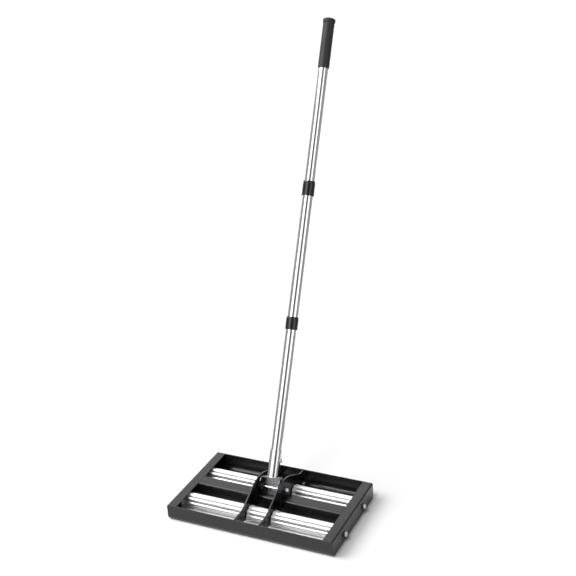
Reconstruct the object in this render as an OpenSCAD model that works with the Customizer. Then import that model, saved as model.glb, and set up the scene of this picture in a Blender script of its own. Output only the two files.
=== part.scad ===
// Lawn leveling rake: a weighted frame with two rows of bar rollers, and a long handle hinged in a yoke.
// The origin is on the ground under the middle of the head.
// X runs along the head, and the handle leans to +Y.

/* [Head frame] */
// Length of the head, side to side
head_len = 432; // [380:1:600]
// Width of the head, front to back
head_w = 254; // [240:1:300]
// Height of the frame above the ground
frame_h = 42; // [36:0.5:50]
// Thickness of the bent sheet bars
sheet_t = 2.5; // [2:0.1:4]
// Width of the flange on top of each end bar
flange_w = 25; // [18:0.5:34]
// Width of the smoothing blade under the front and rear bars
blade_w = 28; // [20:0.5:34]
// Inner bend radius between a blade and its face
blade_bend = 9.5; // [4:0.5:12]
// Inner bend radius along the top edges
edge_bend = 1.5; // [0.5:0.1:4]
// Width of the middle bar
mid_w = 33; // [26:0.5:36]

/* [Pivot plates] */
// Thickness of a pivot plate
plate_t = 4; // [3:0.1:6]
// Space between the two pivot plates
plate_gap = 60; // [56:0.5:80]
// Height of the plate's crest above the pivot
plate_lug_h = 26; // [20:0.5:32]
// Radius of the plate's crest
plate_crest_r = 90; // [70:1:100]
// Slope of the plate's flanks in degrees
plate_flank_angle = 27; // [24:0.5:30]
// Radius at the foot of each flank
plate_foot_r = 40; // [25:1:50]
// Height of the plate's feet above the top of the frame
plate_foot_rise = 2; // [0.5:0.1:4]

/* [Rollers] */
// Diameter of an axle
axle_d = 8; // [7:0.1:9]
// Distance of each axle from the middle of the head
axle_y = 58.5; // [50:0.5:64]
// Diameter of a roller's rods
rod_d = 9; // [7:0.1:9.5]
// Rods round each roller
rod_count = 8; // [6:1:8]
// Thickness of a roller's end discs
disc_t = 8; // [5:0.1:9]
// Wall of the lobes that hold the rods in the discs
lobe_wall = 1.2; // [0.6:0.1:2]
// How far the rods' ends stand out past the discs
end_proud = 0.6; // [0.3:0.1:1]
// Outer diameter of a bearing bush
bush_d = 14; // [12:0.1:16]
// Length of a bearing bush
bush_len = 10; // [6:0.5:14]
// Space between a roller's end and the wall beside it
side_gap = 1.5; // [1.3:0.1:4]
// Outer diameter of the spacer rings
spacer_d = 14; // [12:0.1:15]

/* [Fasteners] */
// Width across the flats of the axle nuts
axle_nut_af = 13; // [12:0.1:16]
// Height of an axle nut's hexagon
axle_nut_h = 3.6; // [3:0.1:6]
// Height of the low dome on an axle nut
axle_dome_h = 2.8; // [2.4:0.1:4]
// Width across the flats of the pivot nut and of the pivot bolt's head
pivot_nut_af = 13; // [12:0.1:16]
// Height of the pivot nut's hexagon
pivot_nut_h = 6; // [4:0.1:8]
// Height of the dome on the pivot nut
pivot_dome_h = 5; // [4:0.1:6]
// Height of the pivot bolt's head
bolt_head_h = 5.3; // [4:0.1:7]
// Diameter of the washers
washer_d = 17; // [15:0.1:20]
// Thickness of the washers
washer_t = 1.2; // [1:0.1:2.5]

/* [Yoke] */
// Diameter of the pivot bolt
pivot_d = 8; // [6:0.1:10]
// Distance of the pivot behind the middle of the head
pivot_y = 9; // [0:0.5:14]
// Width of the yoke over its legs
yoke_w = 52; // [46:0.5:54]
// Thickness of the yoke's sheet
yoke_t = 2.5; // [2:0.1:3]
// Inner bend radius of the yoke
yoke_bend = 3; // [1:0.1:6]
// Radius of the legs' ends round the pivot
ear_r = 12; // [10.5:0.5:14]
// Height of the yoke's top above the pivot
web_h = 26; // [22:0.5:30]
// How far the yoke's top reaches in front of the pivot
web_front = 13; // [12:0.5:16]
// How far the yoke's top reaches behind the pivot
web_rear = 5; // [4.5:0.5:9]
// How far the legs' shoulders reach in front of the pivot
shoulder_reach = 18.5; // [16:0.5:20]
// Height of the legs' shoulders above the pivot
shoulder_h = 14; // [10:0.5:16]
// Diameter of the hole in the yoke's rear wall
wall_hole_d = 8; // [3:0.5:8.5]
// Height of that hole above the pivot
wall_hole_h = 9.5; // [9.5:0.5:14]
// Height of the rear wall's lower edge above the pivot
wall_low_h = 4.5; // [4:0.5:5]

/* [Socket] */
// Outer diameter of the socket
socket_d = 29; // [28.2:0.1:32]
// Length of the socket
socket_len = 66; // [50:1:90]
// Height of the locking screw above the socket's foot
screw_h = 42; // [20:1:46]
// Diameter of the locking screw
screw_d = 5; // [4:0.1:6]
// Length of the locking screw's shank
screw_len = 9; // [6:0.5:11]
// Diameter of the locking screw's head
screw_head_d = 9; // [8:0.1:11]
// Height of the locking screw's head
screw_head_h = 3; // [2:0.1:4]

/* [Handle] */
// Backward lean of the handle at rest in degrees
lean = 25; // [0:1:60]
// Diameter of the tubes
tube_d = 25; // [24:0.1:26]
// Wall of the tubes
tube_wall = 1.2; // [0.8:0.1:2]
// Length of the lower tube
lower_tube_len = 375; // [250:1:600]
// Length of the middle tube
middle_tube_len = 328; // [200:1:600]
// Length of the upper tube
upper_tube_len = 408; // [250:1:700]
// Outer diameter of the collars
collar_d = 30.5; // [29:0.1:34]
// Length of the lower collar
lower_collar_len = 31; // [24:0.5:50]
// Length of the upper collar
upper_collar_len = 36; // [24:0.5:50]
// Height of the sloping shoulder on a collar
collar_shoulder_h = 4; // [2:0.1:6]
// How far the shoulder slopes in
collar_shoulder_in = 1.6; // [0.5:0.1:1.8]
// Diameter of the screwed joint's spigot
spigot_d = 16; // [12:0.1:18]
// Length of the screwed joint's spigot
spigot_len = 24; // [15:0.5:26]
// Length of the plug and of the insert in the tube ends
plug_len = 28; // [27:0.5:40]

/* [Grip] */
// Outer diameter of the grip
grip_d = 27.8; // [27.4:0.1:32]
// Length of the grip
grip_len = 122; // [90:1:160]
// Thickness of the grip's closed end
grip_end_t = 6; // [4:0.5:10]
// Radius of the rounded bead round the grip's end
bead_r = 5; // [4:0.1:6]
// How far the bead stands out past the grip
bead_proud = 1.4; // [0.5:0.1:2]
// Radius of the grip's domed end
dome_r = 26; // [22:0.5:40]

/* [Clearances] */
// Space between the rollers and the ground
ground_gap = 0.2; // [0.1:0.1:1]
// Space between the rollers and the flanges above them
flange_gap = 0.7; // [0.4:0.1:2]
// Space between the yoke's ends and the middle bar
ear_gap = 1; // [0.5:0.1:3]
// Radial clearance of a turning fit
run_gap = 0.06; // [0.02:0.01:0.1]
// Radial clearance of a fixed fit
fit_gap = 0.1; // [0.05:0.01:0.2]
// End clearance of the spacers
end_play = 0.2; // [0.1:0.05:0.4]
// Overrun of cuts
cut = 1; // [0.5:0.1:3]

/* [Hidden] */
$fn = 96;
blade_heel = blade_bend + sheet_t;
edge_heel = edge_bend + sheet_t;
face_y = head_w / 2 - sheet_t;
leg_x = head_len / 2 - sheet_t;
roller_r = (frame_h - sheet_t - flange_gap - ground_gap) / 2;
axle_z = ground_gap + roller_r;
lobe_d = rod_d + 2 * lobe_wall;
rod_ring_r = roller_r - lobe_d / 2;
plate_outer_x = plate_gap / 2 + plate_t;
pivot_z = frame_h + ear_gap + ear_r;
crest_z = pivot_z + plate_lug_h;
foot_z = frame_h + plate_foot_rise;
axle_len = head_len + 2 * washer_t + 2 * axle_nut_h;
tube_id = tube_d - 2 * tube_wall;
plug_d = tube_id - 2 * fit_gap;
lower_joint = web_h + lower_tube_len;
upper_joint = lower_joint + middle_tube_len;
handle_top = upper_joint + upper_tube_len + grip_end_t;
// Share of a round end's radius at which the straight flanks leave it
leave_share = 0.99;
crest_s = sin(plate_flank_angle);
crest_c = cos(plate_flank_angle);
crest_centre_z = crest_z - plate_crest_r;
crest_end = [0, crest_centre_z] + leave_share * plate_crest_r * [crest_s, crest_c];
foot_low_z = frame_h + plate_foot_rise / 2;
flank_len = (crest_end[1] - foot_low_z - plate_foot_r * (1 - crest_c)) / crest_s;
flank_end = crest_end + flank_len * [crest_c, -crest_s];
foot_centre = flank_end + plate_foot_r * [crest_s, crest_c];
leave_r = leave_share * ear_r;
ear_angle = atan2(shoulder_h, shoulder_reach) - acos(leave_r / norm([shoulder_reach, shoulder_h]));
ear_end = leave_r * [cos(ear_angle), sin(ear_angle)];

// The spans in which the rollers lie, from left to right
LEFT_BAY = [-leg_x, -plate_outer_x];
CENTRE_BAY = [-plate_gap / 2, plate_gap / 2];
RIGHT_BAY = [plate_outer_x, leg_x];
BAYS = [LEFT_BAY, CENTRE_BAY, RIGHT_BAY];
FRONT = -1;
REAR = 1;

PAINT = [0.13, 0.13, 0.14];
STEEL = [0.78, 0.78, 0.79];
NYLON = [0.90, 0.90, 0.88];
ZINC = [0.70, 0.71, 0.73];
PLASTIC = [0.08, 0.08, 0.09];
RUBBER = [0.16, 0.16, 0.17];
BRONZE = [0.62, 0.48, 0.28];

// Lays an outline of y and z along X
module along_x(len) {
    rotate([90, 0, 90])
        linear_extrude(len, center = true)
            children();
}

// Lays an outline of x and z along Y
module along_y(len) {
    rotate([90, 0, 0])
        linear_extrude(len, center = true)
            children();
}

// A round bar along X from one place to another
module round_x(from, to, d) {
    translate([from, 0, 0])
        rotate([0, 90, 0])
            cylinder(h = to - from, d = d);
}

// A ring along X from one place to another
module ring_x(from, to, d, hole_d) {
    difference() {
        round_x(from, to, d);
        round_x(from - cut, to + cut, hole_d);
    }
}

// A tube along Z from one height to another
module tube_z(from, to, d, bore_d) {
    translate([0, 0, from])
        difference() {
            cylinder(h = to - from, d = d);
            translate([0, 0, -cut])
                cylinder(h = to - from + 2 * cut, d = bore_d);
        }
}

// Moves children to an axle's centre line
module at_axle(row) {
    translate([0, row * axle_y, axle_z])
        children();
}

// Moves children to the pivot's centre line
module at_pivot() {
    translate([0, pivot_y, pivot_z])
        children();
}

// Stands children on the pivot, along the leaning handle
module on_handle() {
    at_pivot()
        rotate([-lean, 0, 0])
            children();
}

// A rectangle with its first corner rounded
module heel(base, upright, bend) {
    translate([bend, 0])
        square([base - bend, upright]);
    translate([0, bend])
        square([base, upright - bend]);
    translate([bend, bend])
        circle(bend);
}

// Section of a bent sheet angle with its heel at the origin
module bent_angle(base, upright, bend) {
    difference() {
        heel(base, upright, bend + sheet_t);
        translate([sheet_t, sheet_t])
            heel(base, upright, bend);
    }
}

// A rectangle standing on the origin with all corners rounded
module round_box(w, h, corner) {
    translate([-w / 2, corner])
        square([w, h - 2 * corner]);
    translate([corner - w / 2, 0])
        square([w - 2 * corner, h]);
    for (side = [-1, 1], up = [corner, h - corner])
        translate([side * (w / 2 - corner), up])
            circle(corner);
}

// Outline of an end bar's leg, which closes the ends of the front and rear bars
module leg_outline() {
    for (side = [0, 1])
        mirror([side, 0])
            translate([-head_w / 2, 0])
                heel(head_w / 2, frame_h, blade_heel);
}

// The room that the end bars' flanges take up over the other bars
module flange_room() {
    for (side = [0, 1])
        mirror([side, 0, 0])
            translate([head_len / 2 - flange_w, -head_w / 2 - cut, frame_h - sheet_t])
                cube([flange_w + cut, head_w + 2 * cut, sheet_t + cut]);
}

// Clearance holes for both axles
module axle_holes(from, to) {
    for (row = [FRONT, REAR])
        at_axle(row)
            round_x(from, to, axle_d + 2 * fit_gap);
}

// The end bar on the right
module end_bar() {
    color(PAINT)
        difference() {
            intersection() {
                translate([head_len / 2, 0, frame_h])
                    along_y(head_w)
                        rotate(180)
                            bent_angle(flange_w, frame_h, edge_bend);
                along_x(head_len + cut)
                    leg_outline();
            }
            axle_holes(leg_x - cut, head_len / 2 + cut);
        }
}

module left_end_bar() {
    mirror([1, 0, 0])
        end_bar();
}

module right_end_bar() {
    end_bar();
}

// A bent bar between the end bars, its top cut away where it passes under the flanges
module front_bar() {
    color(PAINT)
        difference() {
            translate([0, -head_w / 2, 0])
                along_x(2 * leg_x)
                    bent_angle(blade_w, frame_h, blade_bend);
            flange_room();
        }
}

module rear_bar() {
    mirror([0, 1, 0])
        front_bar();
}

// A rectangular tube whose top is cut away where it passes under the flanges
module mid_bar() {
    color(PAINT)
        difference() {
            along_x(2 * leg_x)
                difference() {
                    round_box(mid_w, frame_h, edge_heel);
                    translate([0, sheet_t])
                        round_box(mid_w - 2 * sheet_t, frame_h - 2 * sheet_t, edge_bend);
                }
            flange_room();
        }
}

// The arch of a plate round the pivot, from foot to foot
module plate_arch() {
    difference() {
        polygon([
            [foot_centre[0], frame_h], [foot_centre[0], foot_low_z], flank_end, crest_end,
            [-crest_end[0], crest_end[1]], [-flank_end[0], flank_end[1]],
            [-foot_centre[0], foot_low_z], [-foot_centre[0], frame_h]
        ]);
        for (side = [-1, 1])
            translate([side * foot_centre[0], foot_centre[1]])
                circle(plate_foot_r);
    }
    translate([0, crest_centre_z])
        circle(plate_crest_r);
}

// Outline of a plate in y and z, between the front bar and the rear bar
module plate_outline() {
    intersection() {
        union() {
            translate([-face_y, blade_heel])
                square([2 * face_y, foot_z - blade_heel]);
            translate([pivot_y, 0])
                plate_arch();
        }
        translate([-face_y, blade_heel])
            square([2 * face_y, crest_z]);
    }
}

module pivot_plate() {
    color(PAINT)
        difference() {
            translate([plate_outer_x - plate_t / 2, 0, 0])
                along_x(plate_t)
                    difference() {
                        plate_outline();
                        round_box(mid_w, frame_h, edge_heel);
                        translate([-mid_w / 2, 0])
                            square([mid_w, frame_h / 2]);
                    }
            axle_holes(plate_gap / 2 - cut, plate_outer_x + cut);
            at_pivot()
                round_x(plate_gap / 2 - cut, plate_outer_x + cut, pivot_d + 2 * fit_gap);
        }
}

module left_pivot_plate() {
    mirror([1, 0, 0])
        pivot_plate();
}

module right_pivot_plate() {
    pivot_plate();
}

module axle(row) {
    color(ZINC)
        at_axle(row)
            round_x(-axle_len / 2, axle_len / 2, axle_d);
}

// Rods on a circle, the length of a roller in its bay
module rods(row, bay) {
    color(STEEL)
        at_axle(row)
            for (i = [0 : rod_count - 1])
                rotate([i * 360 / rod_count, 0, 0])
                    translate([0, 0, rod_ring_r])
                        round_x(bay[0] + side_gap, bay[1] - side_gap, rod_d);
}

// A circle at the place of each rod
module rod_circles(d) {
    for (i = [0 : rod_count - 1])
        rotate(i * 360 / rod_count)
            translate([0, rod_ring_r])
                circle(d = d);
}

// A disc with a lobe round the end of each rod, and a hole for its bush
module disc(from) {
    translate([from + disc_t / 2, 0, 0])
        along_x(disc_t)
            difference() {
                union() {
                    circle(rod_ring_r);
                    rod_circles(lobe_d);
                }
                rod_circles(rod_d + 2 * fit_gap);
                circle(d = bush_d + 2 * fit_gap);
            }
}

module discs(row, bay) {
    inset = side_gap + end_proud;
    color(NYLON)
        at_axle(row) {
            disc(bay[0] + inset);
            disc(bay[1] - inset - disc_t);
        }
}

module bushes(row, bay) {
    bore_d = axle_d + 2 * run_gap;
    color(BRONZE)
        at_axle(row) {
            ring_x(bay[0] + side_gap, bay[0] + side_gap + bush_len, bush_d, bore_d);
            ring_x(bay[1] - side_gap - bush_len, bay[1] - side_gap, bush_d, bore_d);
        }
}

// Rings on the axles at both ends of every bay
module roller_spacers() {
    ring_t = side_gap - end_play;
    bore_d = axle_d + 2 * fit_gap;
    color(ZINC)
        for (row = [FRONT, REAR], bay = BAYS)
            at_axle(row) {
                ring_x(bay[0], bay[0] + ring_t, spacer_d, bore_d);
                ring_x(bay[1] - ring_t, bay[1], spacer_d, bore_d);
            }
}

module axle_washers() {
    color(PAINT)
        for (row = [FRONT, REAR], side = [0, 1])
            mirror([side, 0, 0])
                at_axle(row)
                    ring_x(head_len / 2, head_len / 2 + washer_t, washer_d, axle_d + 2 * fit_gap);
}

// A hexagon nut with a dome, its seat at x = 0, on a thread as long as the hexagon
module dome_nut(thread_d, across, hex_h, dome_h) {
    dome_sphere_r = (pow(across / 2, 2) + pow(dome_h, 2)) / (2 * dome_h);
    difference() {
        union() {
            rotate([0, 90, 0])
                cylinder(h = hex_h, d = across / cos(30), $fn = 6);
            translate([hex_h, 0, 0])
                rotate([0, 90, 0])
                    rotate_extrude()
                        intersection() {
                            translate([0, dome_h - dome_sphere_r])
                                circle(dome_sphere_r);
                            square([across, dome_h]);
                        }
        }
        round_x(-cut, hex_h + end_play, thread_d + 2 * fit_gap);
    }
}

module axle_nuts() {
    color(ZINC)
        for (row = [FRONT, REAR], side = [0, 1])
            mirror([side, 0, 0])
                at_axle(row)
                    translate([head_len / 2 + washer_t, 0, 0])
                        dome_nut(axle_d, axle_nut_af, axle_nut_h, axle_dome_h);
}

module pivot_bolt() {
    seat_x = plate_outer_x + washer_t;
    color(ZINC)
        at_pivot() {
            round_x(-seat_x, seat_x + pivot_nut_h, pivot_d);
            translate([-seat_x - bolt_head_h, 0, 0])
                rotate([0, 90, 0])
                    cylinder(h = bolt_head_h, d = pivot_nut_af / cos(30), $fn = 6);
        }
}

module pivot_nut() {
    color(ZINC)
        at_pivot()
            translate([plate_outer_x + washer_t, 0, 0])
                dome_nut(pivot_d, pivot_nut_af, pivot_nut_h, pivot_dome_h);
}

module pivot_washers() {
    color(PAINT)
        at_pivot()
            for (side = [0, 1])
                mirror([side, 0, 0])
                    ring_x(plate_outer_x, plate_outer_x + washer_t, washer_d, pivot_d + 2 * fit_gap);
}

// Rings that hold the yoke in the middle between the plates
module pivot_spacers() {
    color(ZINC)
        at_pivot()
            for (side = [0, 1])
                mirror([side, 0, 0])
                    ring_x(yoke_w / 2 + end_play, plate_gap / 2, spacer_d, pivot_d + 2 * fit_gap);
}

// Outline of the yoke's legs in y and z, round the pivot and up to the top
module ear_outline() {
    circle(ear_r);
    polygon([
        [web_rear, 0], [web_rear, web_h + cut], [-web_front, web_h + cut],
        [-shoulder_reach, shoulder_h], [-ear_end[0], ear_end[1]]
    ]);
}

// Outline of the yoke over its legs in x and z
module yoke_outline() {
    translate([0, -web_h])
        round_box(yoke_w, 2 * web_h, yoke_bend + yoke_t);
}

// Section of the bent yoke in x and z, open below
module yoke_section() {
    difference() {
        yoke_outline();
        translate([0, -web_h - yoke_t])
            round_box(yoke_w - 2 * yoke_t, 2 * web_h, yoke_bend);
    }
}

// The bent sheet, its rear wall, and the holes in both
module yoke_bracket() {
    color(STEEL)
        on_handle()
            difference() {
                intersection() {
                    union() {
                        along_y(2 * shoulder_reach + cut)
                            yoke_section();
                        intersection() {
                            along_y(2 * shoulder_reach + cut)
                                yoke_outline();
                            translate([-yoke_w / 2, web_rear - yoke_t, wall_low_h])
                                cube([yoke_w, yoke_t, web_h]);
                        }
                    }
                    along_x(yoke_w + 2 * cut)
                        ear_outline();
                }
                round_x(-yoke_w, yoke_w, pivot_d + 2 * run_gap);
                translate([0, 0, wall_hole_h])
                    rotate([-90, 0, 0])
                        cylinder(h = shoulder_reach, d = wall_hole_d);
            }
}

// Hole for the locking screw, out through +X
module screw_hole() {
    translate([0, 0, web_h + screw_h])
        round_x(0, socket_d, screw_d + 2 * fit_gap);
}

module socket_tube() {
    color(STEEL)
        on_handle()
            difference() {
                tube_z(web_h, web_h + socket_len, socket_d, tube_d + 2 * fit_gap);
                screw_hole();
            }
}

module socket_screw() {
    head_x = socket_d / 2;
    color(ZINC)
        on_handle()
            translate([0, 0, web_h + screw_h]) {
                round_x(head_x - screw_len, head_x, screw_d);
                round_x(head_x, head_x + screw_head_h, screw_head_d);
            }
}

module lower_tube() {
    color(STEEL)
        on_handle()
            difference() {
                tube_z(web_h, lower_joint, tube_d, tube_id);
                screw_hole();
            }
}

module middle_tube() {
    color(STEEL)
        on_handle()
            tube_z(lower_joint, upper_joint, tube_d, tube_id);
}

module upper_tube() {
    color(STEEL)
        on_handle()
            tube_z(upper_joint, handle_top - grip_end_t, tube_d, tube_id);
}

// A plastic sleeve over a joint, with a sloping shoulder at its top
module collar(joint, len) {
    inner = tube_d / 2 + fit_gap;
    outer = collar_d / 2;
    color(PLASTIC)
        on_handle()
            translate([0, 0, joint - len / 2])
                rotate_extrude()
                    polygon([
                        [inner, 0], [outer, 0], [outer, len - collar_shoulder_h],
                        [outer - collar_shoulder_in, len], [inner, len]
                    ]);
}

// A threaded sleeve fixed in the top end of a tube
module insert(joint) {
    color(ZINC)
        on_handle()
            tube_z(joint - plug_len, joint, plug_d, spigot_d + 2 * fit_gap);
}

// A plug fixed in the bottom end of a tube, with a spigot that screws into the tube below
module stud(joint) {
    color(ZINC)
        on_handle()
            translate([0, 0, joint]) {
                cylinder(h = plug_len, d = plug_d);
                translate([0, 0, -spigot_len])
                    cylinder(h = spigot_len, d = spigot_d);
            }
}

// A rubber sleeve with a bead round its closed, domed end
module grip() {
    bead_x = grip_d / 2 + bead_proud - bead_r;
    color(RUBBER)
        on_handle()
            translate([0, 0, handle_top - grip_len])
                difference() {
                    rotate_extrude()
                        intersection() {
                            union() {
                                square([grip_d / 2, grip_len - bead_r]);
                                square([bead_x, grip_len]);
                                translate([bead_x, grip_len - bead_r])
                                    circle(bead_r);
                            }
                            translate([0, grip_len - dome_r])
                                union() {
                                    circle(dome_r);
                                    translate([0, -grip_len])
                                        square([grip_d, grip_len]);
                                }
                        }
                    translate([0, 0, -cut])
                        cylinder(h = grip_len - grip_end_t + cut, d = tube_d + 2 * fit_gap);
                }
}

left_end_bar();
right_end_bar();
front_bar();
mid_bar();
rear_bar();
left_pivot_plate();
right_pivot_plate();
axle(FRONT);  // front_axle
axle(REAR);  // rear_axle
rods(FRONT, LEFT_BAY);  // front_left_rods
rods(FRONT, CENTRE_BAY);  // front_centre_rods
rods(FRONT, RIGHT_BAY);  // front_right_rods
rods(REAR, LEFT_BAY);  // rear_left_rods
rods(REAR, CENTRE_BAY);  // rear_centre_rods
rods(REAR, RIGHT_BAY);  // rear_right_rods
discs(FRONT, LEFT_BAY);  // front_left_discs
discs(FRONT, CENTRE_BAY);  // front_centre_discs
discs(FRONT, RIGHT_BAY);  // front_right_discs
discs(REAR, LEFT_BAY);  // rear_left_discs
discs(REAR, CENTRE_BAY);  // rear_centre_discs
discs(REAR, RIGHT_BAY);  // rear_right_discs
bushes(FRONT, LEFT_BAY);  // front_left_bushes
bushes(FRONT, CENTRE_BAY);  // front_centre_bushes
bushes(FRONT, RIGHT_BAY);  // front_right_bushes
bushes(REAR, LEFT_BAY);  // rear_left_bushes
bushes(REAR, CENTRE_BAY);  // rear_centre_bushes
bushes(REAR, RIGHT_BAY);  // rear_right_bushes
roller_spacers();
axle_washers();
axle_nuts();
pivot_bolt();
pivot_nut();
pivot_washers();
pivot_spacers();
yoke_bracket();
socket_tube();
socket_screw();
lower_tube();
middle_tube();
upper_tube();
collar(lower_joint, lower_collar_len);  // lower_collar
collar(upper_joint, upper_collar_len);  // upper_collar
insert(lower_joint);  // lower_insert
insert(upper_joint);  // upper_insert
stud(lower_joint);  // lower_stud
stud(upper_joint);  // upper_stud
grip();
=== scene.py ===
"""Looks of a lawn leveling rake: finishes, rounded edges, welds, fasteners, floor, light and camera.

Lengths are in millimetres until a shape becomes a mesh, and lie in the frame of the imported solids:
X along the head, Y to the side that the handle leans to, Z up from the ground. The studio is in metres.
"""

import logging
import math
from dataclasses import dataclass, field
from enum import Enum
from typing import Callable, Iterable, Sequence, Union

import bmesh
import bpy
from mathutils import Matrix, Vector
from mathutils.geometry import tessellate_polygon


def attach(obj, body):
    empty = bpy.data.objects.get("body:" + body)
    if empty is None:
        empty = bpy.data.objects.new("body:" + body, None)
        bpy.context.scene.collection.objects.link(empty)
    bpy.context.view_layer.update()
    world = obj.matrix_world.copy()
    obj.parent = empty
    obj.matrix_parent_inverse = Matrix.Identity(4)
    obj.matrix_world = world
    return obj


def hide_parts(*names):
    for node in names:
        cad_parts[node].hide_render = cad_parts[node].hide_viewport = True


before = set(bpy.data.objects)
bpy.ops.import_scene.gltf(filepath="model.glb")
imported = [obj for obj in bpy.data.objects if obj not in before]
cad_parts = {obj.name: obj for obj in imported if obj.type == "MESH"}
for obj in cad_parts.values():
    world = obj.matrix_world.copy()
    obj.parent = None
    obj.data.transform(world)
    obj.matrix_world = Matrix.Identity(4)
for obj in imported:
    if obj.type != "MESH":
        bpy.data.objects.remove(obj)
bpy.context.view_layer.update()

LOG = logging.getLogger("leveling_rake")
# One millimetre in metres.
MM = 0.001
# Points of a mesh that lie closer than this are merged.
MERGE_MM = 0.001
# Anything shorter than this counts as nothing.
TINY = 1e-9
# An edge that turns by more than this is sharp.
SHARP_DEG = 38.0
# Largest turn between two points of a small rounding.
EDGE_STEP_DEG = 30.0
# Steps across the rounding of a sharp edge.
ROUND_SEGMENTS = 3
# The cosine of half a corner's turn is held above this when an outline moves inwards.
LEAST_MITRE = 0.5
# Nearly all values of a noise pattern lie between these.
NOISE_SPAN = (0.3, 0.7)
# No finish is smoother than this.
LEAST_ROUGHNESS = 0.02

Point = tuple[float, float]
Corner = tuple[float, float, float]
Radius = Union[float, Callable[[float], float]]
Profile = list[tuple[Radius, float]]
Tree = bpy.types.NodeTree
Node = bpy.types.Node
Socket = bpy.types.NodeSocket
Sockets = bpy.types.bpy_prop_collection
Piece = bpy.types.Object
Feed = Union[Socket, float, int, str, bool, Sequence[float], bpy.types.Material]


class Axis(Enum):
    """The direction in which an outline is drawn out."""

    X = "x"
    Y = "y"

    def lay(self, u: float, v: float, along: float) -> Vector:
        """Returns the place of outline point (u, v) at a distance along this axis."""
        return Vector((along, u, v) if self is Axis.X else (u, along, v))


class Body(Enum):
    """The bodies that pieces ride on, apart from the rollers' own."""

    FRAME = "frame"
    HANDLE = "handle"


class Slot(Enum):
    """The record's material slots."""

    COAT = "black_powder_coat"
    ROD = "polished_rod_steel"
    TUBE = "polished_stainless_tube"
    SHEET = "satin_bracket_steel"
    ZINC = "zinc_plated_steel"
    NYLON = "natural_nylon"
    BRONZE = "sintered_bronze"
    PLASTIC = "black_plastic"
    RUBBER = "black_rubber"


# Outlines and meshes


def soften(corners: Sequence[Corner], closed: bool = True, step_deg: float = 10.0) -> list[Point]:
    """Rounds the corners of a path.

    Args:
        corners: Places and radii of the corners, in order.
        closed: Whether the last corner joins the first.
        step_deg: Largest turn between two points of an arc.

    Returns:
        The points of the rounded path.
    """
    found: list[Point] = []
    count = len(corners)
    for i, (x, y, radius) in enumerate(corners):
        here = Vector((x, y))
        if radius <= 0 or (not closed and i in (0, count - 1)):
            found.append((x, y))
            continue
        before = (Vector(corners[i - 1][:2]) - here).normalized()
        after = (Vector(corners[(i + 1) % count][:2]) - here).normalized()
        half = before.angle(after) / 2
        centre = here + (before + after).normalized() * (radius / math.sin(half))
        start = here + before * (radius / math.tan(half)) - centre
        turn = math.pi - 2 * half
        if before.x * after.y - before.y * after.x > 0:
            turn = -turn
        steps = max(2, math.ceil(abs(math.degrees(turn)) / step_deg))
        for k in range(steps + 1):
            spoke = start.copy()
            spoke.rotate(Matrix.Rotation(turn * k / steps, 2))
            found.append(tuple(centre + spoke))
    return found


def refine(outline: Sequence[Point], longest: float) -> list[Point]:
    """Splits the edges of a closed outline so that none is longer than a length.

    Args:
        outline: The outline's points.
        longest: The longest edge allowed.

    Returns:
        The points with the new ones between them.
    """
    found: list[Point] = []
    for (ax, ay), (bx, by) in zip(outline, [*outline[1:], outline[0]]):
        parts = max(1, math.ceil(math.hypot(bx - ax, by - ay) / longest))
        found += [(ax + (bx - ax) * k / parts, ay + (by - ay) * k / parts) for k in range(parts)]
    return found


def wound(outline: Sequence[Point], hole: bool) -> list[Point]:
    """Returns an outline that runs anticlockwise, or clockwise for a hole."""
    area = sum(a[0] * b[1] - b[0] * a[1] for a, b in zip(outline, [*outline[1:], outline[0]]))
    return list(outline) if (area > 0) != hole else list(reversed(outline))


def inset(outline: Sequence[Point], distance: float) -> list[Point]:
    """Moves an outline to its left, which is into the material.

    Args:
        outline: A closed outline.
        distance: How far to move it.

    Returns:
        The moved outline, point for point.
    """
    found: list[Point] = []
    count = len(outline)
    for i in range(count):
        here = Vector(outline[i])
        first = (here - Vector(outline[i - 1])).normalized()
        second = (Vector(outline[(i + 1) % count]) - here).normalized()
        left = Vector((-first.y - second.y, first.x + second.x))
        if left.length < TINY:
            left = Vector((-first.y, first.x))
        left.normalize()
        spread = max(LEAST_MITRE, left.dot(Vector((-first.y, first.x))))
        found.append(tuple(here + left * (distance / spread)))
    return found


def circle(radius: float, up: float, steps: int) -> list[Point]:
    """Returns a circle's outline round a point at a height."""
    turns = [2 * math.pi * k / steps for k in range(steps)]
    return [(radius * math.cos(t), up + radius * math.sin(t)) for t in turns]


def add_object(name: str, data: bpy.types.ID) -> Piece:
    """Makes an object of some data, and links it into the scene.

    Args:
        name: Name of the object.
        data: Its mesh, light or camera.

    Returns:
        The object.
    """
    made = bpy.data.objects.new(name, data)
    bpy.context.scene.collection.objects.link(made)
    return made


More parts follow.
